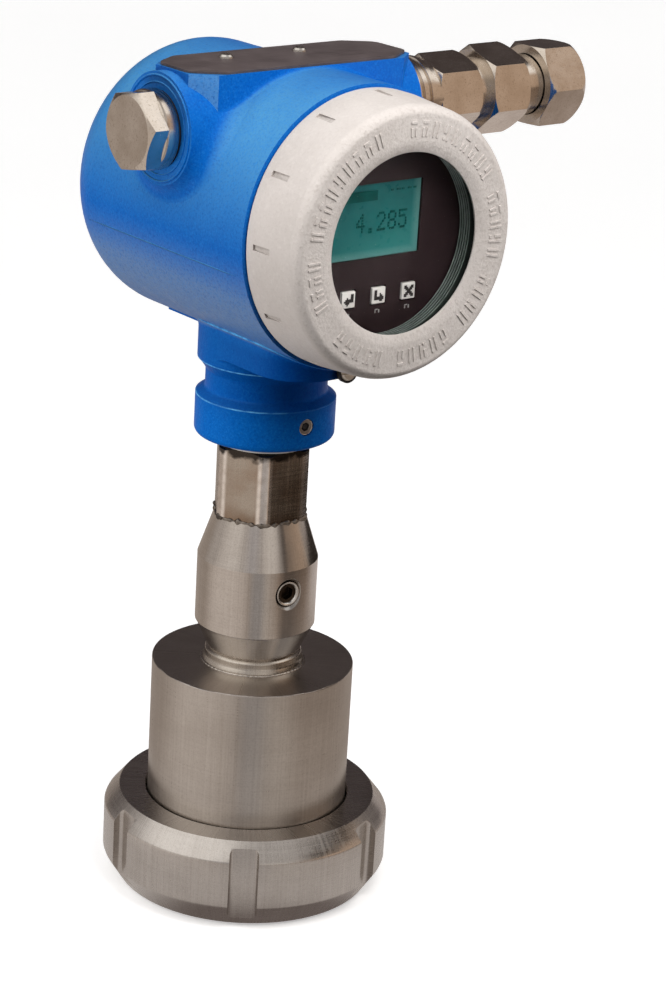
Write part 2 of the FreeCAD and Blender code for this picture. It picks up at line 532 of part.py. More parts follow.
middle_turned = turned("middle_turned", [
    ("cable_bore + 1.2", "entry_hex - 5.8"), ("8.4", "entry_hex - 5.8"), ("8.4", "entry_end + 0.1"), ("10.2", "entry_end + 0.1"),
    ("10.2", "middle_hex + 0.5"), ("10.6", "middle_hex + 0.5"), ("10.6", "middle_end"), ("9.3", "middle_end"),
    ("9.3", "cap_hex + 5.6"), ("8.3", "cap_hex + 6.6"), ("7.6", "cap_hex + 6.6"), ("7.6", "middle_end - 4"),
    ("cable_bore + 1.2", "middle_end - 4")], GLAND, "right")
middle_bar = prism("middle_bar", "middle_af", "middle_end - middle_hex", ("middle_hex", "0", "axis_height + conduit_height"), "right", GLAND_TURN)
middle_limit = turned("middle_limit", [
    ("10", "middle_hex"), ("12.6", "middle_hex"), ("14.4", "middle_hex + 1.1"), ("14.4", "middle_end"), ("10", "middle_end")],
    GLAND, "right")
eased(middle_limit, "3.8", ("14.4", "middle_end"))
node("gland_middle_body", fuse("gland_middle_body", middle_turned, both("middle_hex_solid", middle_bar, middle_limit)))

node("gland_seal", turned("gland_seal", [
    ("cable_bore", "middle_end - 3.9"), ("7.4", "middle_end - 3.9"), ("7.4", "cap_hex + 5.6"), ("6.4", "cap_hex + 6.8"),
    ("cable_bore", "cap_hex + 6.8")], GLAND, "right"))
node("gland_clamp_ring", turned("gland_clamp_ring", [
    ("cable_bore + 0.5", "cap_hex + 7.2"), ("9.4", "cap_hex + 7.2"), ("9.4", "cap_hex + 8.6"), ("cable_bore + 0.5", "cap_hex + 8.6")],
    GLAND, "right"))
cap_bar = prism("cap_bar", "cap_af", "cap_end - cap_hex", ("cap_hex", "0", "axis_height + conduit_height"), "right", 30.0)
cap_limit = turned("cap_limit", [
    ("9.8", "cap_hex"), ("12.4", "cap_hex"), ("14.45", "cap_hex + 1.3"), ("14.45", "cap_end"),
    ("cable_bore + 1.2", "cap_end"), ("cable_bore + 1.2", "cap_hex + 9.0"), ("9.8", "cap_hex + 9.0")], GLAND, "right")
eased(cap_limit, "6.6", ("14.45", "cap_end"))
node("gland_cap_nut", both("gland_cap_nut", cap_bar, cap_limit))

# ---------------------------------------------------------------- window cover
cover_blank = turned("cover_blank", [
    ("spigot_radius", "cover_rear"), ("cover_radius - 0.4", "cover_rear"), ("cover_radius", "cover_rear + 0.4"),
    ("cover_radius", "cover_band"), ("bezel_radius", "cover_face"),
    ("window_radius + 3.8", "cover_face"), ("window_radius + 0.4", "cover_face - 1.25"), ("window_radius", "cover_face - 1.45"),
    ("window_radius", "cover_lip"), ("glass_bore", "cover_lip"), ("glass_bore", "ring_rear - 0.4"), ("cover_hollow", "ring_rear - 1.6"),
    ("cover_hollow", "spigot_end"), ("spigot_radius - 0.8", "spigot_end"), ("spigot_radius", "spigot_end + 0.8"),
    ("spigot_radius", "cover_rear - 4.2"), ("spigot_radius - 1.7", "cover_rear - 4.2"), ("spigot_radius - 1.7", "cover_rear - 2"),
    ("spigot_radius", "cover_rear - 2")], HEAD, "front")
eased(cover_blank, "bezel_round", ("bezel_radius", "cover_face"))
notches = []
for k in range(12):
    a = math.radians(30.0 * k)
    r, w = num("cover_radius - notch_depth"), num("notch_width")
    nx = r * math.cos(a) + 0.5 * w * math.sin(a)
    nz = r * math.sin(a) - 0.5 * w * math.cos(a)
    rot = FreeCAD.Rotation(V(0, 1, 0), -math.degrees(a)).multiply(AIM["front"])
    notches.append(box("notch_%d" % k, ("6", "notch_width", "notch_length"),
                       ("%.6f" % nx, "0 - cover_rear - notch_start", "axis_height + %.6f" % nz), rot))
node("front_cover", cut("front_cover", cover_blank, *notches))
node("cover_oring", torus("cover_oring", "spigot_radius - 0.85", "0.8", ("0", "3.1 - cover_rear", "axis_height"), "front"))
node("window_gasket", turned("window_gasket", [
    ("window_radius + 0.8", "glass_front"), ("glass_radius - 0.2", "glass_front"), ("glass_radius - 0.2", "cover_lip - 0.2"),
    ("window_radius + 0.8", "cover_lip - 0.2")], HEAD, "front"))
node("window_glass", turned("window_glass", [
    ("0", "glass_rear"), ("glass_radius - 0.3", "glass_rear"), ("glass_radius", "glass_rear + 0.3"), ("glass_radius", "glass_front - 0.3"),
    ("glass_radius - 0.3", "glass_front"), ("0", "glass_front")], HEAD, "front"))
ring_blank = turned("ring_blank", [
    ("ring_hole", "ring_rear"), ("glass_bore - 0.1", "ring_rear"), ("glass_bore - 0.1", "glass_rear - 0.2"), ("ring_hole", "glass_rear - 0.2")],
    HEAD, "front")
ring_keys = [cyl("ring_key_%d" % k, "0.9", "3.2", ("%g" % (sx * 30.0), "0 - ring_rear + 1", "axis_height"), "front") for k, sx in enumerate((-1, 1))]
node("glass_retaining_ring", cut("glass_retaining_ring", ring_blank, *ring_keys))

# ---------------------------------------------------------------- display and electronics
face_blank = turned("face_blank", [
    ("0", "face_front - face_thick"), ("face_radius - 1.4", "face_front - face_thick"), ("face_radius - 1.4", "face_front - 4.0"),
    ("face_radius", "face_front - 4.0"), ("face_radius", "face_front - 0.4"), ("face_radius - 0.4", "face_front"), ("0", "face_front")],
    HEAD, "front")
lcd_window = box("lcd_window", ("lcd_wide", "6", "lcd_high"),
                 ("0 - 0.5*lcd_wide - lcd_shift", "0 - face_front - 2", "axis_height + lcd_rise - 0.5*lcd_high"))
key_holes = [box("key_hole_%d" % k, ("key_side + 0.6", "6", "key_side + 0.6"),
                 ("%d*key_pitch - 0.5*key_side - 0.3" % (k - 1), "0 - face_front - 2", "axis_height - key_drop - 0.5*key_side - 0.3"))
             for k in range(3)]
node("display_face", cut("display_face", face_blank, lcd_window, *key_holes))
node("lcd_panel", box("lcd_panel", ("lcd_wide + 3", "2.4", "lcd_high + 3"),
                      ("0 - 0.5*lcd_wide - lcd_shift - 1.5", "face_thick - face_front + 0.05", "axis_height + lcd_rise - 0.5*lcd_high - 1.5")))
for k, side in enumerate(("left", "middle", "right")):
    node("key_" + side, box("key_" + side, ("key_side", "3.6", "key_side"),
                            ("%d*key_pitch - 0.5*key_side" % (k - 1), "0 - face_front - 0.5", "axis_height - key_drop - 0.5*key_side")))
board_blank = cyl("board_blank", "board_radius", "1.6", ("0", "5.6 - face_front", "axis_height"), "front")
post_at = [(27.0 * math.sin(math.radians(d)), 27.0 * math.cos(math.radians(d))) for d in (60, 180, 300)]
board_holes = [cyl("board_hole_%d" % k, "1.3", "6", ("%.6f" % px, "8 - face_front", "axis_height + %.6f" % pz), "front")
               for k, (px, pz) in enumerate(post_at)]
node("display_board", cut("display_board", board_blank, *board_holes))

main_blank = cyl("main_blank", "mouth_bore - 0.6", "1.6", ("0", "0 - ledge", "axis_height"), "front")
main_holes = [cyl("main_hole_%d" % k, "1.3", "6", ("%.6f" % px, "2 - ledge", "axis_height + %.6f" % pz), "front")
              for k, (px, pz) in enumerate(post_at)]
node("main_board", cut("main_board", main_blank, *main_holes))
posts = []
for k, (px, pz) in enumerate(post_at):
    posts.append(turned("post_%d" % k, [
        ("0", "ledge - 3"), ("1.2", "ledge - 3"), ("1.2", "ledge + 1.6"), ("2.6", "ledge + 1.6"), ("2.6", "face_front - 5.6"),
        ("1.2", "face_front - 5.6"), ("1.2", "face_front - 2.6"), ("0", "face_front - 2.6")],
        ("%.6f" % px, "0", "axis_height + %.6f" % pz), "front"))
node("display_posts", fuse("display_posts", *posts))

block = box("block", ("34", "13", "14"), ("0 - 17", "0 - ledge", "axis_height + 4"))
wells = [cyl("well_%d" % k, "2.7", "20", ("%g" % (-11 + 11 * k), "8 - ledge", "axis_height + 11"), "back") for k in range(3)]
node("terminal_block", cut("terminal_block", block, *wells))
screws = []
for k in range(3):
    screws.append(turned("terminal_screw_%d" % k, [("0", "8 - ledge"), ("2.5", "8 - ledge"), ("2.5", "10.4 - ledge"), ("0", "10.4 - ledge")],
                         ("%g" % (-11 + 11 * k), "0", "axis_height + 11"), "back"))
node("terminal_screws", fuse("terminal_screws", *screws))
ribbon_up = box("ribbon_up", ("6", "0.6", "axis_height - cell_top - 25.5"), ("0 - 3", "0 - 2", "cell_top + 0.5"))
ribbon_over = box("ribbon_over", ("6", "ledge - 1.4", "0.6"), ("0 - 3", "0 - ledge", "axis_height - 25.6"))
node("sensor_ribbon", fuse("sensor_ribbon", ribbon_up, ribbon_over))

# ---------------------------------------------------------------- check and write
doc.recompute()
for obj in doc.Objects:
    bad = [word for word in obj.State if word in ("Invalid", "Error")]
    if bad:
        raise RuntimeError("%s is %s" % (obj.Label, bad))
for name, obj in NODES.items():
    shape = obj.Shape
    if shape.isNull() or not shape.isValid() or not shape.Solids:
        raise RuntimeError("%s has no valid solid" % name)
os.makedirs("parts", exist_ok=True)
for name, obj in NODES.items():
    obj.Shape.exportStep("parts/%s.step" % name)
    print("%-22s solids %d  volume %10.1f" % (name, len(obj.Shape.Solids), obj.Shape.Volume))
print(len(NODES), "nodes")
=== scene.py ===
import json
import math
import bpy
import bmesh
import numpy as np
from mathutils import Matrix, Vector


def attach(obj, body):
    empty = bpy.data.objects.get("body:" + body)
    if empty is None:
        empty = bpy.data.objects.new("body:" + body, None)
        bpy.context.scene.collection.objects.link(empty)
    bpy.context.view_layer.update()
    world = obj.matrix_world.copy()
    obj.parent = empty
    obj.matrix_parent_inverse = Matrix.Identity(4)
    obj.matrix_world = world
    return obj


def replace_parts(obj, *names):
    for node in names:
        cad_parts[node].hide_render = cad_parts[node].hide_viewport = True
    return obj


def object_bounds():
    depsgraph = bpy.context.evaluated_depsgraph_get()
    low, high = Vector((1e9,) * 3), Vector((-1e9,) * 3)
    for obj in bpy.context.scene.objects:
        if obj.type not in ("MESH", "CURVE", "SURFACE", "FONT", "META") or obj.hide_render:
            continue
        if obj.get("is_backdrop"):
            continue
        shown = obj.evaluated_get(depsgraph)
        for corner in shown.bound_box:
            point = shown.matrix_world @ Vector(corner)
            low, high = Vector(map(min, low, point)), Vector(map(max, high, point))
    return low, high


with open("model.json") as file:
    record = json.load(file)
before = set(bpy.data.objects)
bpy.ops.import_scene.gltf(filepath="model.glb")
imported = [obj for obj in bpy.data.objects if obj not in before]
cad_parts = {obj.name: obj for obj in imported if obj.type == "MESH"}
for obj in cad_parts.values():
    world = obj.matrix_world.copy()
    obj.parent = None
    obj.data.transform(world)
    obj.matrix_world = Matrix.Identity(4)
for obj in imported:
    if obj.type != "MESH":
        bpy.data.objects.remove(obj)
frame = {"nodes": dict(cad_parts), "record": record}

cad_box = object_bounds()
nodes = frame["nodes"]
scene = bpy.context.scene
MM = 0.001
H = 0.2245          # axis of the barrel above the foot
CZ = 0.2516         # axis of plug and gland above the foot


# ------------------------------------------------------------------ materials
class Look:
    """A procedural material: a Principled shader with noise-driven colour, roughness and bump."""

    def __init__(self, name, colour=(0.5, 0.5, 0.5), metallic=0.0, rough=0.5, **more):
        self.mat = bpy.data.materials.new(name)
        self.mat.use_nodes = True
        self.tree = self.mat.node_tree
        self.tree.nodes.clear()
        out = self.add("ShaderNodeOutputMaterial")
        self.bsdf = self.add("ShaderNodeBsdfPrincipled")
        self.wire(self.bsdf.outputs["BSDF"], out.inputs["Surface"])
        self.set("Base Color", colour)
        self.set("Metallic", metallic)
        self.set("Roughness", rough)
        for k, v in more.items():
            self.set(k.replace("_", " "), v)
        self.where = self.add("ShaderNodeTexCoord").outputs["Object"]
        self.bumps = None

    def add(self, kind, **props):
        n = self.tree.nodes.new(kind)
        for k, v in props.items():
            setattr(n, k, v)
        return n

    def wire(self, a, b):
        self.tree.links.new(a, b)

    def put(self, socket, value):
        if isinstance(value, bpy.types.NodeSocket):
            self.wire(value, socket)
        elif isinstance(value, (tuple, list)) and socket.type == "RGBA" and len(value) == 3:
            socket.default_value = (*value, 1.0)
        else:
            socket.default_value = value

    def set(self, name, value):
        self.put(self.bsdf.inputs[name], value)

    def noise(self, scale, detail=2.0, rough=0.5, vector=None, distortion=0.0):
        n = self.add("ShaderNodeTexNoise")
        self.wire(vector or self.where, n.inputs["Vector"])
        n.inputs["Scale"].default_value = scale
        n.inputs["Detail"].default_value = detail
        n.inputs["Roughness"].default_value = rough
        n.inputs["Distortion"].default_value = distortion
        return n.outputs["Fac"]

    def voronoi(self, scale, vector=None, feature="F1", output="Distance"):
        n = self.add("ShaderNodeTexVoronoi", feature=feature)
        self.wire(vector or self.where, n.inputs["Vector"])
        n.inputs["Scale"].default_value = scale
        return n.outputs[output]

    def ramp(self, fac, *stops):
        n = self.add("ShaderNodeValToRGB")
        self.wire(fac, n.inputs["Fac"])
        e = n.color_ramp.elements
        while len(e) < len(stops):
            e.new(0.5)
        for i, (p, c) in enumerate(stops):
            e[i].position = p
            c = c if isinstance(c, (tuple, list)) else (c, c, c)
            e[i].color = (*c, 1.0)
        return n.outputs["Color"]

    def span(self, value, a, b, lo=0.0, hi=1.0):
        n = self.add("ShaderNodeMapRange")
        self.wire(value, n.inputs["Value"])
        for k, v in zip(("From Min", "From Max", "To Min", "To Max"), (a, b, lo, hi)):
            n.inputs[k].default_value = v
        return n.outputs["Result"]

    def mix(self, fac, a, b, blend="MIX"):
        n = self.add("ShaderNodeMix", data_type="RGBA", blend_type=blend)
        self.put(n.inputs[0], fac)
        self.put(n.inputs[6], a)
        self.put(n.inputs[7], b)
        return n.outputs[2]

    def math(self, op, a, b=0.0, clamp=False):
        n = self.add("ShaderNodeMath", operation=op, use_clamp=clamp)
        self.put(n.inputs[0], a)
        self.put(n.inputs[1], b)
        return n.outputs[0]

    def xyz(self):
        n = self.add("ShaderNodeSeparateXYZ")
        self.wire(self.where, n.inputs[0])
        return n.outputs

    def around(self, axis, centre, turn, along):
        """A place on a turned piece with no seam: turn stretches it round the axis, along stretches it on the axis."""
        shift = self.add("ShaderNodeVectorMath", operation="SUBTRACT")
        self.wire(self.where, shift.inputs[0])
        shift.inputs[1].default_value = centre
        flat = self.add("ShaderNodeVectorMath", operation="MULTIPLY")
        self.wire(shift.outputs[0], flat.inputs[0])
        flat.inputs[1].default_value = tuple(0.0 if k == axis else 1.0 for k in range(3))
        unit = self.add("ShaderNodeVectorMath", operation="NORMALIZE")
        self.wire(flat.outputs[0], unit.inputs[0])
        wide = self.add("ShaderNodeVectorMath", operation="SCALE")
        self.wire(unit.outputs[0], wide.inputs[0])
        wide.inputs["Scale"].default_value = turn
        line = self.add("ShaderNodeVectorMath", operation="MULTIPLY")
        self.wire(shift.outputs[0], line.inputs[0])
        line.inputs[1].default_value = tuple(along if k == axis else 0.0 for k in range(3))
        both = self.add("ShaderNodeVectorMath", operation="ADD")
        self.wire(wide.outputs[0], both.inputs[0])
        self.wire(line.outputs[0], both.inputs[1])
        return both.outputs[0]

    def bump(self, height, strength, distance):
        n = self.add("ShaderNodeBump")
        n.inputs["Strength"].default_value = strength
        n.inputs["Distance"].default_value = distance
        self.wire(height, n.inputs["Height"])
        if self.bumps is not None:
            self.wire(self.bumps, n.inputs["Normal"])
        self.bumps = n.outputs["Normal"]
        self.wire(self.bumps, self.bsdf.inputs["Normal"])


def paint_blue(name="cast_blue_paint", low=(0.0012, 0.108, 0.465), high=(0.0018, 0.126, 0.515), light=(0.016, 0.215, 0.64),
               deep=(0.0006, 0.058, 0.315), shade=(0.0006, 0.030, 0.19), painted_sheen=(0.083, 0.305, 0.54), painted_floor_sheen=(0.20, 0.30, 0.43)):
    k = Look(name, rough=0.4, Specular_IOR_Level=0.12)
    large = k.noise(30, 2, 0.5)
    body = k.ramp(large, (0.3, low), (0.7, high))
    # painted sheen: faces turned up and to the left, towards the lamps, are mixed towards a paler, greyer blue
    facing = k.add("ShaderNodeVectorMath", operation="DOT_PRODUCT")
    k.wire(k.add("ShaderNodeTexCoord").outputs["Normal"], facing.inputs[0])
    facing.inputs[1].default_value = (-0.62, 0.0, 0.785)
    pale = k.math("MULTIPLY", k.span(facing.outputs["Value"], 0.54, 1.0, 0.0, 0.90), k.span(k.noise(45, 3), 0.3, 0.7, 0.75, 1.0))
    upper = k.span(k.xyz()[2], 0.168, 0.190, 0.12, 1.0)
    body = k.mix(k.math("MULTIPLY", pale, upper), body, painted_sheen)
    # painted reflection: the lower left of the barrel, facing down towards the floor, is mixed towards a greyer blue
    under = k.add("ShaderNodeVectorMath", operation="DOT_PRODUCT")
    k.wire(k.add("ShaderNodeTexCoord").outputs["Normal"], under.inputs[0])
    under.inputs[1].default_value = (-0.78, 0.0, -0.62)
    floor_sheen_mask = k.math("MULTIPLY", k.span(under.outputs["Value"], 0.80, 1.0, 0.0, 0.7), k.span(k.xyz()[2], 0.1835, 0.1875))
    body = k.mix(k.math("MULTIPLY", floor_sheen_mask, k.span(k.xyz()[2], 0.222, 0.206)), body, painted_floor_sheen)
    # painted highlight on the saddle's left facet beside the plug boss
    facet = k.add("ShaderNodeVectorMath", operation="DOT_PRODUCT")
    k.wire(k.add("ShaderNodeTexCoord").outputs["Normal"], facet.inputs[0])
    facet.inputs[1].default_value = (-0.66, -0.75, 0.03)
    facet_highlight = k.math("MULTIPLY", k.span(facet.outputs["Value"], 0.955, 0.992, 0.0, 0.66), k.span(k.xyz()[2], 0.2500, 0.2540))
    body = k.mix(facet_highlight, body, (0.13, 0.36, 0.68))
    x, y, z = k.xyz()
    # painted shade under the barrel, on the lug, neck and collar, deeper towards the right-hand side
    across = k.math("SUBTRACT", k.math("MULTIPLY", x, 0.79), k.math("MULTIPLY", y, 0.62))
    painted_shade_under_barrel = k.math("MULTIPLY", k.span(z, 0.1885, 0.1840, 0.0, 0.72), k.span(z, 0.1590, 0.1670))
    body = k.mix(k.span(k.noise(1500, 3, 0.7), 0.46, 0.68, 0.0, 0.50), body, light)
    body = k.mix(k.math("MULTIPLY", k.span(k.noise(1250, 3, 0.7), 0.50, 0.70, 0.0, 0.55), k.span(pale, 0.0, 0.8, 1.0, 0.5)), body, deep)
    k.set("Base Color", k.mix(k.math("MULTIPLY", painted_shade_under_barrel, k.span(across, -0.016, 0.006, 0.35, 1.0)), body, shade))
    k.set("Specular IOR Level", k.span(z, 0.186, 0.193, 0.035, 0.12))
    k.set("Roughness", k.span(k.noise(260, 3), 0.3, 0.7, 0.28, 0.42))
    k.bump(k.noise(620, 2, 0.5), 0.35, 0.00030)
    k.bump(k.noise(1900, 2, 0.6), 0.30, 0.00014)
    return k.mat


def edge_highlight_look():
    """A painted highlight on the turned and cast edges: pale in places, fading towards the gland side."""
    k = Look("edge_highlight_paint", rough=0.4, Specular_IOR_Level=0.12)
    x, y, z = k.xyz()
    across = k.math("SUBTRACT", k.math("MULTIPLY", x, 0.79), k.math("MULTIPLY", y, 0.62))
    # painted highlight, strongest on the left and fading towards the gland side
    bright = k.math("MULTIPLY", k.span(across, -0.004, 0.010, 1.0, 0.12), k.span(k.noise(260, 3, 0.6), 0.36, 0.60, 0.25, 1.0))
    body = k.ramp(k.noise(120, 3), (0.3, (0.001, 0.085, 0.38)), (0.7, (0.002, 0.11, 0.46)))
    k.set("Base Color", k.mix(bright, body, (0.12, 0.46, 0.84)))
    k.set("Roughness", k.span(k.noise(260, 3), 0.3, 0.7, 0.28, 0.42))
    k.bump(k.noise(900, 2, 0.5), 0.3, 0.0001)
    return k.mat


def paint_white():
    k = Look("cover_white_paint", rough=0.5)
    x, y, z = k.xyz()
    face = k.span(y, -0.0598, -0.0612, 0.0, 1.0)
    grain = k.noise(1150, 3, 0.65)
    body = k.ramp(k.noise(55, 3), (0.3, (0.545, 0.502, 0.474)), (0.7, (0.610, 0.565, 0.537)))
    pits = k.span(grain, 0.50, 0.68, 0.0, 0.5)
    body = k.mix(k.math("MULTIPLY", pits, k.span(face, 0, 1, 0.35, 1.0)), body, (0.38, 0.335, 0.305))
    body = k.mix(k.span(k.noise(700, 3, 0.6), 0.52, 0.75, 0.0, 0.35), body, (0.72, 0.68, 0.65))
    rise = k.math("SUBTRACT", z, H)
    reach = k.math("SQRT", k.math("ADD", k.math("MULTIPLY", x, x), k.math("MULTIPLY", rise, rise)))
    cone = k.span(y, -0.0446, -0.0623, 0.0415, 0.0401)
    # painted shade on the floors of the grip notches
    notch_shade = k.math("MULTIPLY", k.span(k.math("SUBTRACT", cone, reach), 0.00006, 0.0002), k.span(y, -0.0532, -0.0528))
    notch_shade = k.math("MULTIPLY", notch_shade, k.span(reach, 0.0395, 0.0402))
    k.set("Base Color", k.mix(k.math("MULTIPLY", notch_shade, k.span(grain, 0.3, 0.7, 0.2, 0.75)), body, (0.36, 0.325, 0.30)))
    k.set("Roughness", k.span(grain, 0.3, 0.7, 0.44, 0.62))
    k.bump(k.math("MULTIPLY", grain, k.span(face, 0, 1, 0.35, 1.0)), 0.55, 0.00035)
    k.bump(k.noise(420, 2), 0.2, 0.0003)
    return k.mat


def steel(name, dark, light, axis=2, centre=(0, 0, 0), rough=(0.26, 0.42), lathe=2600.0, cut=0.12, tint=None, **more):
    """Turned metal: tool lines across the axis, faint streaks along it, soft blotches."""
    k = Look(name, metallic=1.0, rough=0.35, **more)
    streak = k.noise(1.0, 3, 0.6, k.around(axis, centre, 40.0, 9.0))
    hair = k.noise(1.0, 2, 0.6, k.around(axis, centre, 160.0, 30.0))
    lines = k.noise(1.0, 2, 0.5, k.around(axis, centre, 1.5, lathe))
    blotch = k.noise(75, 3, 0.6)
    tone = k.math("ADD", k.math("MULTIPLY", streak, 0.30), k.math("MULTIPLY", blotch, 0.30))
    tone = k.math("ADD", tone, k.math("ADD", k.math("MULTIPLY", hair, 0.22), k.math("MULTIPLY", lines, 0.18)))
    body = k.ramp(tone, (0.36, dark), (0.64, light))
    speck = k.noise(1700, 3, 0.65)
    body = k.mix(k.span(speck, 0.47, 0.78, 0.0, 0.40), body, tuple(0.66 * c for c in dark))
    if tint:
        body = tint(k, body)
    k.set("Base Color", body)
    k.set("Roughness", k.span(k.math("ADD", k.math("MULTIPLY", streak, 0.6), k.math("MULTIPLY", lines, 0.4)), 0.3, 0.7, *rough))
    k.bump(lines, cut, 0.00006)
    k.bump(k.noise(700, 3), 0.05, 0.0001)
    return k.mat


def heat_tint_and_painted_light(low, high):
    """Brown heat colour near a weld between two heights, with stains, a painted highlight on the hexagon corners and a
    painted shadow at the top of the hexagon.
    """
    def apply(k, body):
        x, y, z = k.xyz()
        ragged = k.math("ADD", z, k.span(k.noise(260, 3), 0, 1, -0.0025, 0.0025))
        near = k.span(ragged, low, high, 1.0, 0.0)
        body = k.mix(k.math("MULTIPLY", near, 0.75), body, (0.16, 0.10, 0.06))
        stain = k.span(k.noise(95, 3), 0.42, 0.68, 0.0, 0.55)
        body = k.mix(stain, body, (0.34, 0.235, 0.165))
        reach = k.math("SQRT", k.math("ADD", k.math("MULTIPLY", x, x), k.math("MULTIPLY", y, y)))
        # painted highlight down the rounded corners of the hexagon
        corner_highlight = k.math("MULTIPLY", k.span(reach, 0.01490, 0.01520, 0.0, 0.9), k.span(k.noise(420, 3), 0.3, 0.6, 0.6, 1.0))
        body = k.mix(corner_highlight, body, (0.95, 0.88, 0.82))
        # painted shadow under the collar along the top of the hexagon
        return k.mix(k.span(ragged, 0.1452, 0.1462, 0.0, 0.92), body, (0.02, 0.016, 0.014))
    return apply


def painted_side_reflection(k, body):
    """Dull streak down the side of the sensor body, beside the filling screw: a painted dark reflection."""
    x, y, z = k.xyz()
    reach = k.math("SQRT", k.math("ADD", k.math("MULTIPLY", x, x), k.math("MULTIPLY", y, y)))
    right = k.math("DIVIDE", k.math("SUBTRACT", k.math("MULTIPLY", x, 0.787), k.math("MULTIPLY", y, 0.617)), reach)
    front = k.math("DIVIDE", k.math("ADD", k.math("MULTIPLY", x, -0.617), k.math("MULTIPLY", y, -0.787)), reach)
    band = k.math("MULTIPLY", k.span(right, 0.36, 0.47, 0.0, 0.74), k.span(right, 0.84, 0.58, 0.15, 1.0))
    band = k.math("MULTIPLY", band, k.span(front, 0.0, 0.25))
    return k.mix(k.math("MULTIPLY", band, k.span(k.noise(170, 3), 0.3, 0.7, 0.8, 1.0)), body, (0.17, 0.17, 0.175))


def plain_metal(name, dark, light, rough=(0.25, 0.4), scale=900, **more):
    k = Look(name, metallic=1.0, rough=0.3, **more)
    a = k.noise(scale, 3, 0.6)
    k.set("Base Color", k.ramp(k.noise(scale * 0.2, 3), (0.3, dark), (0.7, light)))
    k.set("Roughness", k.span(a, 0.3, 0.7, *rough))
    k.bump(a, 0.06, 0.00006)
    return k.mat


def plated():
    k = Look("plated_nickel", metallic=1.0, rough=0.25)
    smear = k.noise(1.0, 3, 0.6, k.around(0, (0, 0, CZ), 18.0, 500.0))
    blotch = k.noise(120, 4, 0.6)
    body = k.ramp(blotch, (0.32, (0.56, 0.49, 0.42)), (0.68, (0.70, 0.635, 0.565)))
    spots = k.span(k.noise(1500, 3, 0.7), 0.56, 0.72, 0.0, 0.55)
    k.set("Base Color", k.mix(spots, body, (0.30, 0.23, 0.17)))
    k.set("Roughness", k.span(k.math("ADD", k.math("MULTIPLY", smear, 0.5), k.math("MULTIPLY", blotch, 0.5)), 0.3, 0.7, 0.14, 0.28))
    k.bump(smear, 0.06, 0.00008)
    k.bump(k.noise(600, 3), 0.06, 0.00015)
    return k.mat


def plastic(name, a, b, rough=(0.4, 0.55), scale=1200, dist=0.00008, strength=0.2, **more):
    k = Look(name, rough=0.5, **more)
    n = k.noise(scale, 3, 0.6)
    k.set("Base Color", k.ramp(k.noise(scale * 0.12, 3), (0.3, a), (0.7, b)))
    k.set("Roughness", k.span(n, 0.3, 0.7, *rough))
    k.bump(n, strength, dist)
    return k.mat


def plate_look():
    k = Look("plate_dark", rough=0.42)
    wipe = k.add("ShaderNodeVectorMath", operation="MULTIPLY")
    k.wire(k.where, wipe.inputs[0])
    wipe.inputs[1].default_value = (60.0, 2400.0, 400.0)
    brush = k.noise(1.0, 3, 0.6, wipe.outputs[0])
    cloud = k.noise(110, 4, 0.6)
    k.set("Base Color", k.ramp(k.math("ADD", k.math("MULTIPLY", brush, 0.4), k.math("MULTIPLY", cloud, 0.6)),
                               (0.32, (0.048, 0.037, 0.037)), (0.7, (0.112, 0.089, 0.089))))
    k.set("Roughness", k.span(brush, 0.3, 0.7, 0.34, 0.52))
    k.bump(brush, 0.08, 0.00005)
    k.bump(k.noise(1300, 2, 0.6), 0.10, 0.00006)
    return k.mat


def lcd_look():
    k = Look("lcd_teal", rough=0.3, Emission_Strength=0.06, Specular_IOR_Level=0.06)
    x, y, z = k.xyz()
    step = 2.0 * math.pi / 0.00046
    grid = k.math("MULTIPLY", k.math("SINE", k.math("MULTIPLY", x, step)), k.math("SINE", k.math("MULTIPLY", z, step)))
    shade = k.span(k.math("ADD", z, k.math("MULTIPLY", x, -0.35)), H - 0.010, H + 0.020, 0.0, 1.0)
    body = k.ramp(shade, (0.0, (0.012, 0.088, 0.083)), (0.45, (0.0045, 0.052, 0.052)), (1.0, (0.003, 0.037, 0.040)))
    body = k.mix(k.span(k.noise(240, 3), 0.35, 0.75, 0.0, 0.25), body, (0.011, 0.078, 0.074))
    rim = k.math("MAXIMUM", k.span(x, 0.0115, 0.0146, 0.0, 1.0), k.span(z, H - 0.0036, H - 0.0062, 0.0, 1.0))
    body = k.mix(k.math("MULTIPLY", rim, 0.55), body, (0.085, 0.17, 0.158))
    body = k.mix(k.span(grid, -0.2, 0.9, 0.0, 0.40), body, (0.004, 0.050, 0.053))
    k.set("Base Color", body)
    k.set("Emission Color", body)
    k.set("Roughness", k.span(k.noise(500, 2), 0.3, 0.7, 0.26, 0.38))
    return k.mat


def glass_look():
    k = Look("clear_glass", colour=(0.97, 0.985, 0.975), rough=0.0, IOR=1.005, Transmission_Weight=1.0)
    k.set("Base Color", k.ramp(k.noise(90, 3), (0.3, (0.945, 0.962, 0.952)), (0.7, (0.985, 0.992, 0.987))))
    k.set("Roughness", k.span(k.noise(130, 4), 0.55, 0.8, 0.0, 0.004))
    return k.mat


def rib_look():
    """Ring behind the glass: pale crests, grooves darkened by painted shade."""
    k = Look("rib_grey", rough=0.4, Metallic=0.2)
    x, y, z = k.xyz()
    rise = k.math("SUBTRACT", z, H)
    reach = k.math("SQRT", k.math("ADD", k.math("MULTIPLY", x, x), k.math("MULTIPLY", rise, rise)))
    body = k.ramp(k.noise(300, 3), (0.3, (0.065, 0.082, 0.076)), (0.7, (0.13, 0.155, 0.145)))
    # painted shade in the grooves between the crests
    k.set("Base Color", k.mix(k.span(reach, 0.02864, 0.02890, 0.0, 0.97), body, (0.004, 0.006, 0.005)))
    k.set("Roughness", k.span(k.noise(700, 2), 0.3, 0.7, 0.3, 0.45))
    return k.mat


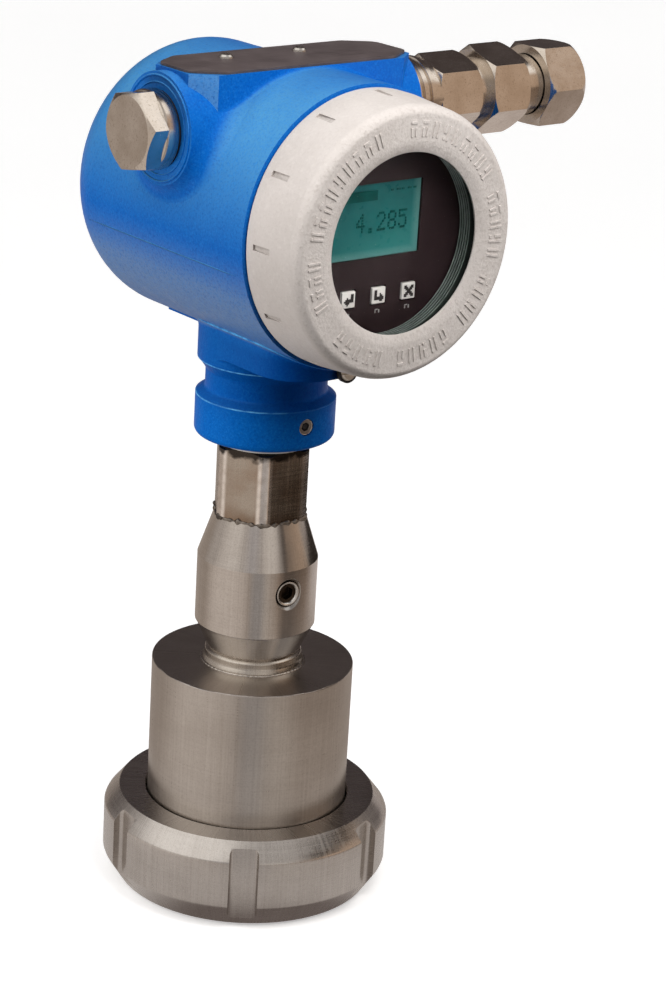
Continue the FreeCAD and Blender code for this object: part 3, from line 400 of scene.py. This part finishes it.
def board_look():
    k = Look("board_green", rough=0.35)
    trace = k.voronoi(420, feature="DISTANCE_TO_EDGE")
    body = k.ramp(k.noise(130, 3), (0.3, (0.010, 0.085, 0.040)), (0.7, (0.018, 0.125, 0.06)))
    k.set("Base Color", k.mix(k.span(trace, 0.03, 0.06, 0.7, 0.0), body, (0.04, 0.21, 0.09)))
    k.set("Roughness", k.span(k.noise(700, 2), 0.3, 0.7, 0.3, 0.45))
    k.bump(trace, 0.15, 0.0001)
    return k.mat


blue = paint_blue()
seam_blue = paint_blue("seam_blue_paint", (0.0012, 0.05, 0.20), (0.002, 0.065, 0.25), (0.01, 0.10, 0.32), (0.001, 0.03, 0.14))
edge_highlight_blue = edge_highlight_look()
white = paint_white()
turned = steel("turned_steel", (0.47, 0.425, 0.385), (0.62, 0.575, 0.53), rough=(0.26, 0.38))
nut_steel = steel("nut_steel", (0.50, 0.462, 0.43), (0.66, 0.62, 0.585), rough=(0.22, 0.34))
sensor_steel = steel("sensor_steel", (0.52, 0.47, 0.425), (0.68, 0.63, 0.58), rough=(0.15, 0.25), tint=painted_side_reflection)
welded = steel("welded_steel", (0.41, 0.345, 0.285), (0.54, 0.475, 0.405), rough=(0.2, 0.32), tint=heat_tint_and_painted_light(0.1252, 0.1300))
neck_steel = steel("neck_steel", (0.46, 0.41, 0.36), (0.62, 0.565, 0.50), rough=(0.2, 0.34))
nickel = plated()
screw = plain_metal("screw_steel", (0.58, 0.55, 0.51), (0.76, 0.73, 0.69), rough=(0.2, 0.34))
warm_screw = plain_metal("warm_screw", (0.58, 0.51, 0.42), (0.80, 0.73, 0.63), rough=(0.35, 0.5))
warm_screw.node_tree.nodes["Principled BSDF"].inputs["Metallic"].default_value = 0.55
zinc = plain_metal("zinc_screw", (0.62, 0.61, 0.59), (0.84, 0.83, 0.81), rough=(0.35, 0.5))
zinc.node_tree.nodes["Principled BSDF"].inputs["Metallic"].default_value = 0.55
dim_screw = plain_metal("dim_screw", (0.20, 0.19, 0.18), (0.44, 0.42, 0.40), rough=(0.3, 0.45))
dark_steel = plain_metal("dark_steel", (0.030, 0.022, 0.016), (0.095, 0.070, 0.050), rough=(0.25, 0.4))
bead = plain_metal("weld_bead", (0.10, 0.085, 0.075), (0.34, 0.30, 0.26), rough=(0.3, 0.5), scale=1400)
pale_bead = plain_metal("pale_weld_bead", (0.44, 0.40, 0.36), (0.66, 0.61, 0.56), rough=(0.2, 0.36), scale=1400)
plate = plate_look()
rubber = plastic("black_rubber", (0.010, 0.010, 0.010), (0.022, 0.022, 0.022), rough=(0.6, 0.8), strength=0.3)
black = plastic("black_plastic", (0.0100, 0.0056, 0.0062), (0.0165, 0.0103, 0.0112), rough=(0.42, 0.58), scale=500, strength=0.01, Specular_IOR_Level=0.06)
dull_black = plastic("dull_black", (0.010, 0.009, 0.009), (0.02, 0.018, 0.018), rough=(0.5, 0.7))
glass = glass_look()
lcd = lcd_look()
keycap = plastic("key_grey", (0.30, 0.285, 0.275), (0.46, 0.445, 0.43), rough=(0.4, 0.55))
board = board_look()
ring_metal = steel("ring_metal", (0.10, 0.11, 0.10), (0.19, 0.21, 0.195), axis=1, centre=(0, 0, H), rough=(0.3, 0.45))
rib_metal = rib_look()
film = plastic("ribbon_film", (0.33, 0.15, 0.02), (0.46, 0.23, 0.04), rough=(0.25, 0.35))
ink = plastic("lcd_ink", (0.001, 0.026, 0.024), (0.002, 0.038, 0.034), rough=(0.45, 0.6), strength=0.05, Specular_IOR_Level=0.04)
dark_ink = plastic("key_ink", (0.014, 0.012, 0.012), (0.024, 0.021, 0.021), rough=(0.45, 0.6), strength=0.05, Specular_IOR_Level=0.06)
pale_ink = plastic("pale_ink", (0.16, 0.155, 0.15), (0.26, 0.25, 0.245), rough=(0.4, 0.55))

LOOKS = {
    "housing": blue, "front_cover": white, "seal_body": turned, "diaphragm": turned, "weld_neck": neck_steel,
    "sensor_body": sensor_steel, "fill_screw": dark_steel, "sensor_cell": turned, "cell_oring": rubber, "cell_lock_ring": ring_metal,
    "sensor_hex": welded, "union_nut": nut_steel, "nameplate": plate, "nameplate_screws": screw, "neck_set_screw": dim_screw,
    "ground_washer": dull_black, "ground_screw": warm_screw, "plug_gasket": rubber, "stop_plug": nickel, "gland_gasket": rubber,
    "gland_entry_body": nickel, "gland_middle_body": nickel, "gland_seal": rubber, "gland_clamp_ring": nickel, "gland_cap_nut": nickel,
    "cover_oring": rubber, "window_gasket": rubber, "window_glass": glass, "glass_retaining_ring": ring_metal,
    "display_face": black, "lcd_panel": lcd, "key_left": keycap, "key_middle": keycap, "key_right": keycap,
    "display_board": board, "main_board": board, "display_posts": ring_metal, "terminal_block": black,
    "terminal_screws": screw, "sensor_ribbon": film,
}
for name, obj in nodes.items():
    obj.data.materials.clear()
    obj.data.materials.append(LOOKS[name])

BODY = {n: b for b, members in frame["record"]["behaviour"]["bodies"].items() for n in members}


# ------------------------------------------------------------------ mesh helpers
def piece(name, bm, body, look, smooth=True, weighted=True):
    mesh = bpy.data.meshes.new(name)
    bmesh.ops.recalc_face_normals(bm, faces=bm.faces)
    bm.to_mesh(mesh)
    bm.free()
    if smooth:
        mesh.polygons.foreach_set("use_smooth", np.ones(len(mesh.polygons), bool))
    mesh.materials.append(look)
    obj = bpy.data.objects.new(name, mesh)
    scene.collection.objects.link(obj)
    if weighted:
        w = obj.modifiers.new("even_normals", "WEIGHTED_NORMAL")
        w.keep_sharp = True
        w.weight = 100
    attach(obj, body)
    return obj


def refined(node, width, segments=2, angle=28.0, look=None, front=None, corner=None, crisp=None):
    """The CAD node's shape with its sharp edges rounded; corner rounds tall edges more; crisp keeps edges over that angle; front sets a flat face back to that y."""
    bm = bmesh.new()
    bm.from_mesh(nodes[node].data)
    bmesh.ops.remove_doubles(bm, verts=bm.verts, dist=2e-6)
    bmesh.ops.dissolve_limit(bm, angle_limit=math.radians(0.35), verts=bm.verts, edges=bm.edges)
    limit = math.radians(angle)
    if corner:
        tall = [e for e in bm.edges if len(e.link_faces) == 2 and e.calc_face_angle(0.0) > limit
                and abs(e.verts[0].co.z - e.verts[1].co.z) > 0.008 and e.verts[0].co.xy.length > 0.0135]
        bmesh.ops.bevel(bm, geom=tall, offset=corner, offset_type="OFFSET", segments=4, profile=0.5, affect="EDGES", clamp_overlap=True)
    sharp = [e for e in bm.edges if len(e.link_faces) == 2 and e.calc_face_angle(0.0) > limit]
    bmesh.ops.bevel(bm, geom=sharp, offset=width, offset_type="OFFSET", segments=segments, profile=0.5,
                    affect="EDGES", clamp_overlap=True)
    if crisp:
        for e in bm.edges:
            if len(e.link_faces) == 2 and math.radians(crisp) < e.calc_face_angle(0.0) < math.radians(25.0):
                e.smooth = False
    if front is not None:
        for v in bm.verts:
            v.co.y = max(v.co.y, front)
    obj = piece(node + "_finish", bm, BODY[node], look or LOOKS[node])
    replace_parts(obj, node)
    return obj


# ------------------------------------------------------------------ stage, light and camera
TO_CAMERA = (-0.617, -0.787)     # level direction from the object to the camera
TO_RIGHT = (0.787, -0.617)       # level direction to the picture's right


def aim(bearing, rise):
    """A direction: bearing in degrees from the camera's side, plus to the picture's right, and rise above the floor."""
    t, e = math.radians(bearing), math.radians(rise)
    x = math.cos(t) * TO_CAMERA[0] + math.sin(t) * TO_RIGHT[0]
    y = math.cos(t) * TO_CAMERA[1] + math.sin(t) * TO_RIGHT[1]
    return (x * math.cos(e), y * math.cos(e), math.sin(e))


class Tree:
    """Small helper for the node trees of the stage."""

    def __init__(self, tree):
        self.t = tree
        self.t.nodes.clear()

    def add(self, kind, **props):
        n = self.t.nodes.new(kind)
        for k, v in props.items():
            setattr(n, k, v)
        return n

    def put(self, socket, value):
        if isinstance(value, bpy.types.NodeSocket):
            self.t.links.new(value, socket)
        elif isinstance(value, (tuple, list)) and socket.type == "RGBA":
            socket.default_value = (*value, 1.0)
        else:
            socket.default_value = value

    def dot(self, a, b):
        n = self.add("ShaderNodeVectorMath", operation="DOT_PRODUCT")
        self.put(n.inputs[0], a)
        self.put(n.inputs[1], b)
        return n.outputs["Value"]

    def smooth(self, v, a, b):
        n = self.add("ShaderNodeMapRange", interpolation_type="SMOOTHSTEP")
        self.put(n.inputs["Value"], v)
        n.inputs["From Min"].default_value, n.inputs["From Max"].default_value = a, b
        return n.outputs["Result"]

    def mul(self, a, b):
        n = self.add("ShaderNodeMath", operation="MULTIPLY")
        self.put(n.inputs[0], a)
        self.put(n.inputs[1], b)
        return n.outputs[0]

    def mix(self, fac, a, b):
        n = self.add("ShaderNodeMix", data_type="RGBA")
        self.put(n.inputs[0], fac)
        self.put(n.inputs[6], a)
        self.put(n.inputs[7], b)
        return n.outputs[2]


def sheet(name, half, z):
    bm = bmesh.new()
    bmesh.ops.create_grid(bm, x_segments=1, y_segments=1, size=half)
    mesh = bpy.data.meshes.new(name)
    bm.to_mesh(mesh)
    bm.free()
    obj = bpy.data.objects.new(name, mesh)
    obj.location = (0, 0, z)
    scene.collection.objects.link(obj)
    obj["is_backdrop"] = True
    return obj


def only_reflected(obj):
    obj.visible_camera = obj.visible_diffuse = obj.visible_shadow = obj.visible_transmission = False
    obj.visible_volume_scatter = False


def make_stage():
    floor = sheet("floor", 60.0, -0.0003)
    k = Look("floor_white", rough=0.7)
    k.set("Base Color", k.ramp(k.noise(3.0, 2), (0.3, (0.87, 0.87, 0.87)), (0.7, (0.89, 0.89, 0.89))))
    k.set("Emission Color", k.ramp(k.noise(2.0, 2), (0.3, (0.98, 0.98, 0.98)), (0.7, (1.0, 1.0, 1.0))))
    k.set("Emission Strength", 0.38)
    k.mat.cycles.emission_sampling = "NONE"
    floor.data.materials.append(k.mat)
    floor.visible_glossy = floor.visible_diffuse = False

    # what polished pieces see of the table: lighter at the left, dark further off at the right
    table = sheet("reflected_table", 14.0, -0.0006)
    mat = bpy.data.materials.new("reflected_table")
    mat.use_nodes = True
    mat.cycles.emission_sampling = "NONE"
    t = Tree(mat.node_tree)
    place = t.add("ShaderNodeTexCoord").outputs["Object"]
    unit = t.add("ShaderNodeVectorMath", operation="NORMALIZE")
    t.put(unit.inputs[0], place)
    far = t.add("ShaderNodeVectorMath", operation="LENGTH")
    t.put(far.inputs[0], place)
    far = far.outputs["Value"]
    d = unit.outputs[0]
    colour = t.mix(t.smooth(t.dot(d, aim(-58, 0)), 0.60, 0.985), (0.40, 0.345, 0.305), (0.68, 0.62, 0.575))
    colour = t.mix(t.mul(t.smooth(t.dot(d, aim(4, 0)), 0.955, 0.992), 0.75), colour, (0.33, 0.325, 0.335))
    colour = t.mix(t.mul(t.smooth(t.dot(d, aim(30, 0)), 0.94, 0.985), 0.6), colour, (0.60, 0.555, 0.51))
    colour = t.mix(t.mul(t.smooth(far, 0.20, 0.28), t.smooth(t.dot(d, aim(140, 0)), 0.70, 0.90)), colour, (0.62, 0.555, 0.525))
    colour = t.mix(t.mul(t.smooth(far, 0.19, 0.29), t.smooth(t.dot(d, aim(74, 0)), 0.55, 0.90)), colour, (0.27, 0.20, 0.155))
    colour = t.mix(t.smooth(far, 0.125, 0.075), colour, (0.56, 0.52, 0.495))
    # a painted contact shadow on the reflected table round the foot
    near = t.add("ShaderNodeVectorMath", operation="DISTANCE")
    t.put(near.inputs[0], place)
    near.inputs[1].default_value = tuple(0.026 * c for c in aim(12, 0))
    colour = t.mix(t.smooth(near.outputs["Value"], 0.044, 0.024), colour, (0.19, 0.16, 0.15))
    glow = t.add("ShaderNodeEmission")
    t.put(glow.inputs["Color"], colour)
    out = t.add("ShaderNodeOutputMaterial")
    t.put(out.inputs["Surface"], glow.outputs[0])
    table.data.materials.append(mat)
    only_reflected(table)

    # a dark flag that the right side of the nut reflects
    bm = bmesh.new()
    rows = []
    for i in range(33):
        x, y, _ = aim(46 + 112 * i / 32, 0)
        rows.append((bm.verts.new((0.130 * x, 0.130 * y, 0.073)), bm.verts.new((0.130 * x, 0.130 * y, 0.112))))
    for a, b in zip(rows, rows[1:]):
        bm.faces.new((a[0], b[0], b[1], a[1]))
    mesh = bpy.data.meshes.new("flag")
    bm.to_mesh(mesh)
    bm.free()
    flag = bpy.data.objects.new("flag", mesh)
    scene.collection.objects.link(flag)
    k = Look("flag_black", rough=0.9, Specular_IOR_Level=0.0)
    k.set("Base Color", k.ramp(k.noise(30, 2), (0.3, (0.03, 0.024, 0.02)), (0.7, (0.05, 0.04, 0.034))))
    mesh.materials.append(k.mat)
    only_reflected(flag)
    flag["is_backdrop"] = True


def sun(name, towards, power, spread, colour=(1, 1, 1)):
    data = bpy.data.lights.new(name, "SUN")
    data.energy = power
    data.angle = math.radians(spread)
    data.color = colour
    obj = bpy.data.objects.new(name, data)
    obj.rotation_mode = "QUATERNION"
    obj.rotation_quaternion = Vector(towards).to_track_quat("Z", "Y")
    obj.location = Vector(towards) * 2.0
    obj.visible_glossy = False
    scene.collection.objects.link(obj)


def lamp(name, place, at, size, power, colour=(1, 1, 1)):
    data = bpy.data.lights.new(name, "AREA")
    data.shape = "RECTANGLE"
    data.size, data.size_y = size
    data.energy = power
    data.color = colour
    obj = bpy.data.objects.new(name, data)
    obj.location = place
    obj.rotation_mode = "QUATERNION"
    obj.rotation_quaternion = (Vector(at) - Vector(place)).to_track_quat("-Z", "Y")
    obj.visible_glossy = obj.visible_camera = False
    scene.collection.objects.link(obj)


def make_world():
    world = bpy.data.worlds.new("studio")
    scene.world = world
    world.use_nodes = True
    t = Tree(world.node_tree)
    d = t.add("ShaderNodeTexCoord").outputs["Generated"]
    # an even grey room, dark at the back, with a large soft box at the upper left and a small one at the upper right
    colour = t.mix(t.smooth(t.dot(d, (0, 0, 1)), 0.2, 0.95), (0.50, 0.465, 0.44), (0.52, 0.50, 0.485))
    colour = t.mix(t.smooth(t.dot(d, aim(180, 22)), 0.30, 0.80), colour, (0.075, 0.062, 0.062))
    colour = t.mix(t.smooth(t.dot(d, aim(82, 14)), 0.80, 0.96), colour, (0.60, 0.45, 0.34))
    colour = t.mix(t.smooth(t.dot(d, aim(-60, 17)), 0.86, 0.96), colour, (0.64, 0.60, 0.565))
    colour = t.mix(t.smooth(t.dot(d, aim(-10, 17)), 0.972, 0.990), colour, (0.50, 0.485, 0.495))
    colour = t.mix(t.smooth(t.dot(d, aim(26, 17)), 0.955, 0.990), colour, (0.72, 0.68, 0.64))
    colour = t.mix(t.smooth(t.dot(d, aim(57, 17)), 0.986, 0.996), colour, (0.14, 0.115, 0.10))
    colour = t.mix(t.smooth(t.dot(d, aim(-60, 50)), 0.74, 0.93), colour, (1.15, 1.12, 1.08))
    colour = t.mix(t.smooth(t.dot(d, aim(98, 53)), 0.93, 0.98), colour, (1.3, 1.27, 1.24))
    # the bounce from below is weak and warm
    colour = t.mix(t.smooth(t.dot(d, (0, 0, 1)), -0.02, -0.12), colour, (0.24, 0.215, 0.205))
    colour = t.mix(t.smooth(t.dot(d, (0, 0, 1)), -0.30, -0.80), colour, (0.95, 0.82, 0.78))
    bg = t.add("ShaderNodeBackground")
    t.put(bg.inputs["Color"], colour)
    bg.inputs["Strength"].default_value = 1.0
    out = t.add("ShaderNodeOutputWorld")
    t.put(out.inputs["Surface"], bg.outputs[0])
    world.cycles_visibility.diffuse = False


def make_camera():
    az, el, roll = math.radians(-38.14), math.radians(19.92), math.radians(2.86)
    back = Vector((math.sin(az) * math.cos(el), -math.cos(az) * math.cos(el), math.sin(el)))
    right = (-back).cross(Vector((0, 0, 1))).normalized()
    up = right.cross(-back)
    r = right * math.cos(roll) + up * math.sin(roll)
    u = -right * math.sin(roll) + up * math.cos(roll)
    turn = Matrix((r, u, back)).transposed().to_4x4()
    turn.translation = Vector((-0.51660, -0.65793, 0.42308))
    data = bpy.data.cameras.new("camera")
    data.lens, data.sensor_width = 101.74, 36.0
    data.shift_x, data.shift_y = 0.0737, 0.0239
    data.clip_start, data.clip_end = 0.01, 50.0
    cam = bpy.data.objects.new("camera", data)
    scene.collection.objects.link(cam)
    cam.matrix_world = turn
    scene.camera = cam


make_stage()
make_world()
sun("day", aim(-60, 45), 1.25, 70.0, (1.0, 0.99, 0.98))
sun("sky", aim(0, 88), 1.02, 110.0)
lamp("key", (-0.03, -0.24, 0.44), (0.0, -0.06, 0.235), (0.20, 0.20), 0.9, (1.0, 0.985, 0.97))
lamp("bounce", tuple(0.42 * c for c in aim(-66, 4)), (-0.03, 0.0, 0.20), (0.30, 0.20), 2.0, (1.0, 0.97, 0.95))
sun("back", aim(165, 38), 0.45, 70.0)
lamp("fill", tuple(0.50 * c for c in aim(95, 16)), (0.0, 0.0, 0.16), (0.30, 0.30), 1.0, (1.0, 0.97, 0.95))
make_camera()
scene.view_settings.view_transform = "Standard"
scene.view_settings.look = "None"

nodes["window_glass"].visible_shadow = False

# ------------------------------------------------------------------ rounded edges on the visible metal
for node, width in (("union_nut", 0.00045), ("sensor_hex", 0.00035), ("stop_plug", 0.00035), ("gland_entry_body", 0.0003),
                    ("gland_middle_body", 0.0003), ("gland_cap_nut", 0.0003), ("seal_body", 0.00035), ("weld_neck", 0.0003),
                    ("sensor_body", 0.00035), ("nameplate", 0.00015), ("ground_screw", 0.00012),
                    ("neck_set_screw", 0.00012), ("fill_screw", 0.00012), ("key_left", 0.00035), ("key_middle", 0.00035),
                    ("key_right", 0.00035), ("display_face", 0.00015)):
    refined(node, width, corner=0.0010 if node == "sensor_hex" else None, crisp=15.0 if node == "sensor_body" else None)
refined("front_cover", 0.0003, front=-61.93 * MM)


# ------------------------------------------------------------------ small shapes on top of the CAD
def ring(name, profile, axis, centre, body, look, steps=160, wave=None):
    """A turned ring: profile is a closed loop of (radius, height); wave moves a point of it by the angle."""
    bm = bmesh.new()
    loops = []
    for i in range(steps):
        a = 2.0 * math.pi * i / steps
        row = []
        for r, h in profile:
            if wave:
                r, h = wave(a, r, h)
            c, q = r * math.cos(a), r * math.sin(a)
            p = ((h, c, q), (c, h, q), (c, q, h))[axis]
            row.append(bm.verts.new([p[k] + centre[k] for k in range(3)]))
        loops.append(row)
    n = len(profile)
    for i in range(steps):
        for j in range(n):
            bm.faces.new((loops[i][j], loops[i][(j + 1) % n], loops[(i + 1) % steps][(j + 1) % n], loops[(i + 1) % steps][j]))
    return piece(name, bm, body, look)


def bead_loop(r, h, size, count=12, flat=1.0):
    return [(r + size * math.cos(2 * math.pi * j / count), h + flat * size * math.sin(2 * math.pi * j / count)) for j in range(count)]


def boxes(name, cells, body, look, ease=0.0):
    """Many small blocks as one piece; a cell is (x0, x1, y0, y1, z0, z1)."""
    bm = bmesh.new()
    for x0, x1, y0, y1, z0, z1 in cells:
        v = [bm.verts.new((x, y, z)) for x in (x0, x1) for y in (y0, y1) for z in (z0, z1)]
        for q in ((0, 1, 3, 2), (4, 6, 7, 5), (0, 4, 5, 1), (2, 3, 7, 6), (0, 2, 6, 4), (1, 5, 7, 3)):
            bm.faces.new([v[k] for k in q])
    if ease:
        bmesh.ops.bevel(bm, geom=list(bm.edges), offset=ease, offset_type="OFFSET", segments=1, affect="EDGES")
    return piece(name, bm, body, look, smooth=False, weighted=False)


def tube(name, path, radius, body, look, sides=8):
    """A thin bead of paint along a path."""
    bm = bmesh.new()
    path = [Vector(q) for q in path]
    rows = []
    for i, q in enumerate(path):
        along = (path[min(i + 1, len(path) - 1)] - path[max(i - 1, 0)]).normalized()
        side = along.cross(Vector((0, 0, 1))).normalized()
        up = side.cross(along)
        size = radius * min(1.0, 0.15 + 0.35 * min(i, len(path) - 1 - i))
        rows.append([bm.verts.new(q + size * (math.cos(2 * math.pi * j / sides) * side + math.sin(2 * math.pi * j / sides) * up))
                     for j in range(sides)])
    for a, b in zip(rows, rows[1:]):
        for j in range(sides):
            bm.faces.new((a[j], a[(j + 1) % sides], b[(j + 1) % sides], b[j]))
    bm.faces.new(rows[0])
    bm.faces.new(list(reversed(rows[-1])))
    return piece(name, bm, body, look, weighted=False)


def dots(rows, x, z, wide, high, fill=0.86):
    """Cells of a dot picture with its middle at x, z."""
    n, m = len(rows[0]), len(rows)
    found = []
    for j, row in enumerate(rows):
        for i, c in enumerate(row):
            if c == "#":
                cx, cz = x + (i - (n - 1) / 2) * wide, z - (j - (m - 1) / 2) * high
                found.append((cx - wide * fill / 2, cx + wide * fill / 2, cz - high * fill / 2, cz + high * fill / 2))
    return found


# plain raised marks round the bezel
STROKES = (
    ((-1.15, -0.45, -2.3, 2.3), (0.45, 1.15, -2.3, 2.3)),
    ((-0.95, 0.95, 0.5, 2.3), (-0.95, 0.95, -2.3, -0.5)),
    ((-1.15, -0.45, -2.3, 2.3), (0.25, 1.15, -0.3, 2.3), (0.25, 1.15, -2.3, -1.4)),
    ((-0.40, 0.40, -2.3, 2.3),),
    ((-1.15, -0.45, -2.3, 0.4), (-1.15, 1.15, 1.4, 2.3), (0.45, 1.15, -2.3, 0.4)),
)
bm = bmesh.new()
count = 50
for i in range(count):
    if i in (3, 13, 14, 24, 29, 30, 36, 42, 47):
        continue
    a0 = math.radians(360.0 * i / count + 4.0)
    for u0, u1, v0, v1 in STROKES[(3 * i * i + i) % 5]:
        low, high = [], []
        for u, v in ((u0, v0), (u1, v0), (u1, v1), (u0, v1)):
            a, r = a0 + u / 33.7, 33.7 + v
            low.append(bm.verts.new((r * math.cos(a) * MM, -61.80 * MM, H + r * math.sin(a) * MM)))
            a, r = a0 + 0.8 * u / 33.7 + 0.2 * (u0 + u1) / 2 / 33.7, 33.7 + v + 0.12 * (1 if v == v0 else -1)
            high.append(bm.verts.new((r * math.cos(a) * MM, -62.27 * MM, H + r * math.sin(a) * MM)))
        bm.faces.new(low)
        bm.faces.new(high)
        for j in range(4):
            bm.faces.new((low[j], low[(j + 1) % 4], high[(j + 1) % 4], high[j]))
piece("bezel_marks", bm, BODY["front_cover"], white, smooth=False, weighted=False)

# figures on the display
FIGURES = {
    "4": ("...#.", "..##.", ".#.#.", "#..#.", "#####", "...#.", "...#."),
    "2": (".###.", "#...#", "....#", "...#.", "..#..", ".#...", "#####"),
    "8": (".###.", "#...#", "#...#", ".###.", "#...#", "#...#", ".###."),
    "5": ("#####", "#....", "####.", "....#", "....#", "#...#", ".###."),
    ".": ("##", "##"),
}
cells = []
for mark, x, z in (("4", -7.3, 4.3), (".", -3.6, 1.9), ("2", 0.4, 4.3), ("8", 4.4, 4.3), ("5", 8.4, 4.3)):
    cells += dots(FIGURES[mark], x * MM, H + z * MM, 0.62 * MM, 0.82 * MM)
cells.append((-19.4 * MM, -1.6 * MM, H + 10.7 * MM, H + 13.7 * MM))
for i, wide in enumerate((0.9, 1.6, 0.7, 1.3, 1.0)):
    cells.append(((3.4 + 2.1 * i) * MM, (3.4 + 2.1 * i + wide) * MM, H + 12.9 * MM, H + 13.5 * MM))
boxes("lcd_figures", [(a, b, -49.60 * MM, -49.42 * MM, c, d) for a, b, c, d in cells], BODY["lcd_panel"], ink)

# plain marks on the keys and under them
ICONS = {
    "key_left": (-11.3, (".....##", ".....##", "..#..##", ".######", "#######", ".###...", "..#....")),
    "key_middle": (0.0, ("##.....", "##.....", "##..#..", "##..##.", "#######", "#######", "....##.")),
    "key_right": (11.3, ("##...##", "###.###", ".#####.", "..###..", ".#####.", "###.###", "##...##")),
}
for node, (x, rows) in ICONS.items():
    boxes(node + "_mark", [(a, b, -51.00 * MM, -50.86 * MM, c, d) for a, b, c, d in dots(rows, x * MM, H - 17.6 * MM, 0.50 * MM, 0.50 * MM, 1.0)],
          BODY[node], dark_ink)
cells = []
for x in (-11.3, 0.0, 11.3):
    cells += [((x + a) * MM, (x + b) * MM, H + c * MM, H + d * MM) for a, b, c, d in
              ((-0.9, -0.55, -22.9, -21.7), (-0.9, 0.2, -22.0, -21.7), (0.5, 0.85, -22.9, -21.9))]
boxes("face_marks", [(a, b, -50.50 * MM, -50.36 * MM, c, d) for a, b, c, d in cells], BODY["display_face"], pale_ink)

# ribbed inside of the ring behind the glass
ribs = []
step = 0.51
for i in range(10):
    ribs += [((28.62 if i % 2 else 29.9) * MM, (-56.85 + step * i + q) * MM) for q in (0.10, 0.41)]
ribs += [(29.9 * MM, -51.75 * MM), (31.35 * MM, -51.75 * MM), (31.35 * MM, -56.85 * MM)]
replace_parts(ring("thread_ribs", ribs, 1, (0, 0, H), BODY["glass_retaining_ring"], rib_metal), "glass_retaining_ring")

# weld beads
def hex_reach(a):
    d = (math.degrees(a) + 4.0) % 60.0 - 30.0
    return min(14.0 / math.cos(math.radians(d)), 14.9) * MM


def ragged(a):
    return 0.55 + 0.25 * math.sin(23 * a + 1.0) + 0.20 * math.sin(37 * a + 2.2) + 0.18 * math.sin(11 * a)


def hex_bead(a, r, h):
    size = max(0.12, ragged(a))
    return hex_reach(a) + 0.05 * MM + r * size, 124.75 * MM + h * size


def ripple(a, r, h):
    return r + 0.04 * MM * math.sin(64 * a + 0.7 * math.sin(9 * a)), h + 0.02 * MM * math.sin(64 * a)


ring("hex_weld", bead_loop(0.0, 0.0, 0.85 * MM, 10, 1.2), 2, (0, 0, 0), BODY["sensor_hex"], bead, 360, hex_bead)
ring("foot_weld", bead_loop(16.35 * MM, 74.72 * MM, 0.55 * MM, 10, 0.7), 2, (0, 0, 0), BODY["weld_neck"], pale_bead, 320, ripple)

# filling hole: bright chamfer round the dark screw
def into_radial(obj, angle, height):
    """Lays a piece made round +Z at the origin onto a radial axis at a height."""
    a = math.radians(angle)
    turn = Matrix(((-math.sin(a), 0, math.cos(a)), (math.cos(a), 0, math.sin(a)), (0, 1, 0))).to_4x4()
    obj.data.transform(Matrix.Translation((0, 0, height)) @ turn)


into_radial(ring("fill_rim", [(r * MM, h * MM) for r, h in ((3.95, 17.75), (3.95, 18.55), (3.75, 18.6), (3.05, 17.95), (3.05, 17.75))],
                 2, (0, 0, 0), BODY["sensor_body"], screw, 64), -95.0, 102.8 * MM)
# a black filling in the set screw's socket: painted shade in its hollow
into_radial(ring("set_socket_shade", [(r * MM, h * MM) for r, h in ((0.02, 18.7), (1.27, 18.7), (1.27, 20.85), (0.02, 20.85))],
                 2, (0, 0, 0), BODY["neck_set_screw"], dull_black, 32), -91.6, 158.2 * MM)
into_radial(ring("set_rim", bead_loop(2.42 * MM, 21.2 * MM, 0.16 * MM), 2, (0, 0, 0), BODY["neck_set_screw"], screw, 48),
            -91.6, 158.2 * MM)

# casting: parting lines, rings round the plug, raised creases along the edges whose light colour is a painted highlight
for side, x in (("left", -1), ("right", 1)):
    tube("parting_" + side, [(x * 41.18 * MM, (39.0 - 3.0 * i) * MM, H - 10.4 * MM) for i in range(26)], 0.24 * MM, BODY["housing"], seam_blue)
for k, (r, size) in enumerate(((13.5, 0.26), (15.5, 0.40))):
    ring("plug_ring_%d" % k, bead_loop(r * MM, -44.6 * MM, size * MM), 0, (0, 0, 0.2502), BODY["housing"], blue)
ring("collar_crease", bead_loop(21.67 * MM, 163.37 * MM, 0.24 * MM), 2, (0, 0, 0), BODY["housing"], edge_highlight_blue)
ring("neck_crease", bead_loop(21.45 * MM, 175.0 * MM, 0.26 * MM), 2, (0, 0, 0), BODY["housing"], edge_highlight_blue)
ring("hex_rim", [(r * MM, h * MM) for r, h in ((13.4, 148.02), (14.5, 148.02), (14.7, 148.2), (14.7, 148.55), (14.5, 148.75), (13.4, 148.75))],
     2, (0, 0, 0), BODY["sensor_hex"], zinc)
path = []
for i in range(10):
    path.append((-22.9, 6.0 - 3.2 * i))
for i in range(13):
    a = math.radians(180 + 7.5 * i)
    path.append((-6.55 + 16.35 * math.cos(a), -23.0 + 16.35 * math.sin(a)))
path += [(-x, y) for x, y in reversed(path)]
tube("lug_crease", [(x * MM, y * MM, H + (-math.sqrt(42.5 ** 2 - x * x) - 0.15) * MM) for x, y in path], 0.38 * MM, BODY["housing"], edge_highlight_blue)

# thread between the gland's middle body and its cap
turns = []
for i in range(19):
    turns.append(((9.72 if i % 2 else 9.34) * MM, (90.6 + 0.73 * i) * MM))
turns += [(9.2 * MM, 103.8 * MM), (9.2 * MM, 90.6 * MM)]
ring("gland_thread", turns, 0, (0, 0, CZ), BODY["gland_middle_body"], nickel)

size = {"cad": [list(cad_box[0]), list(cad_box[1])], "visual": [list(c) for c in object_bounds()]}
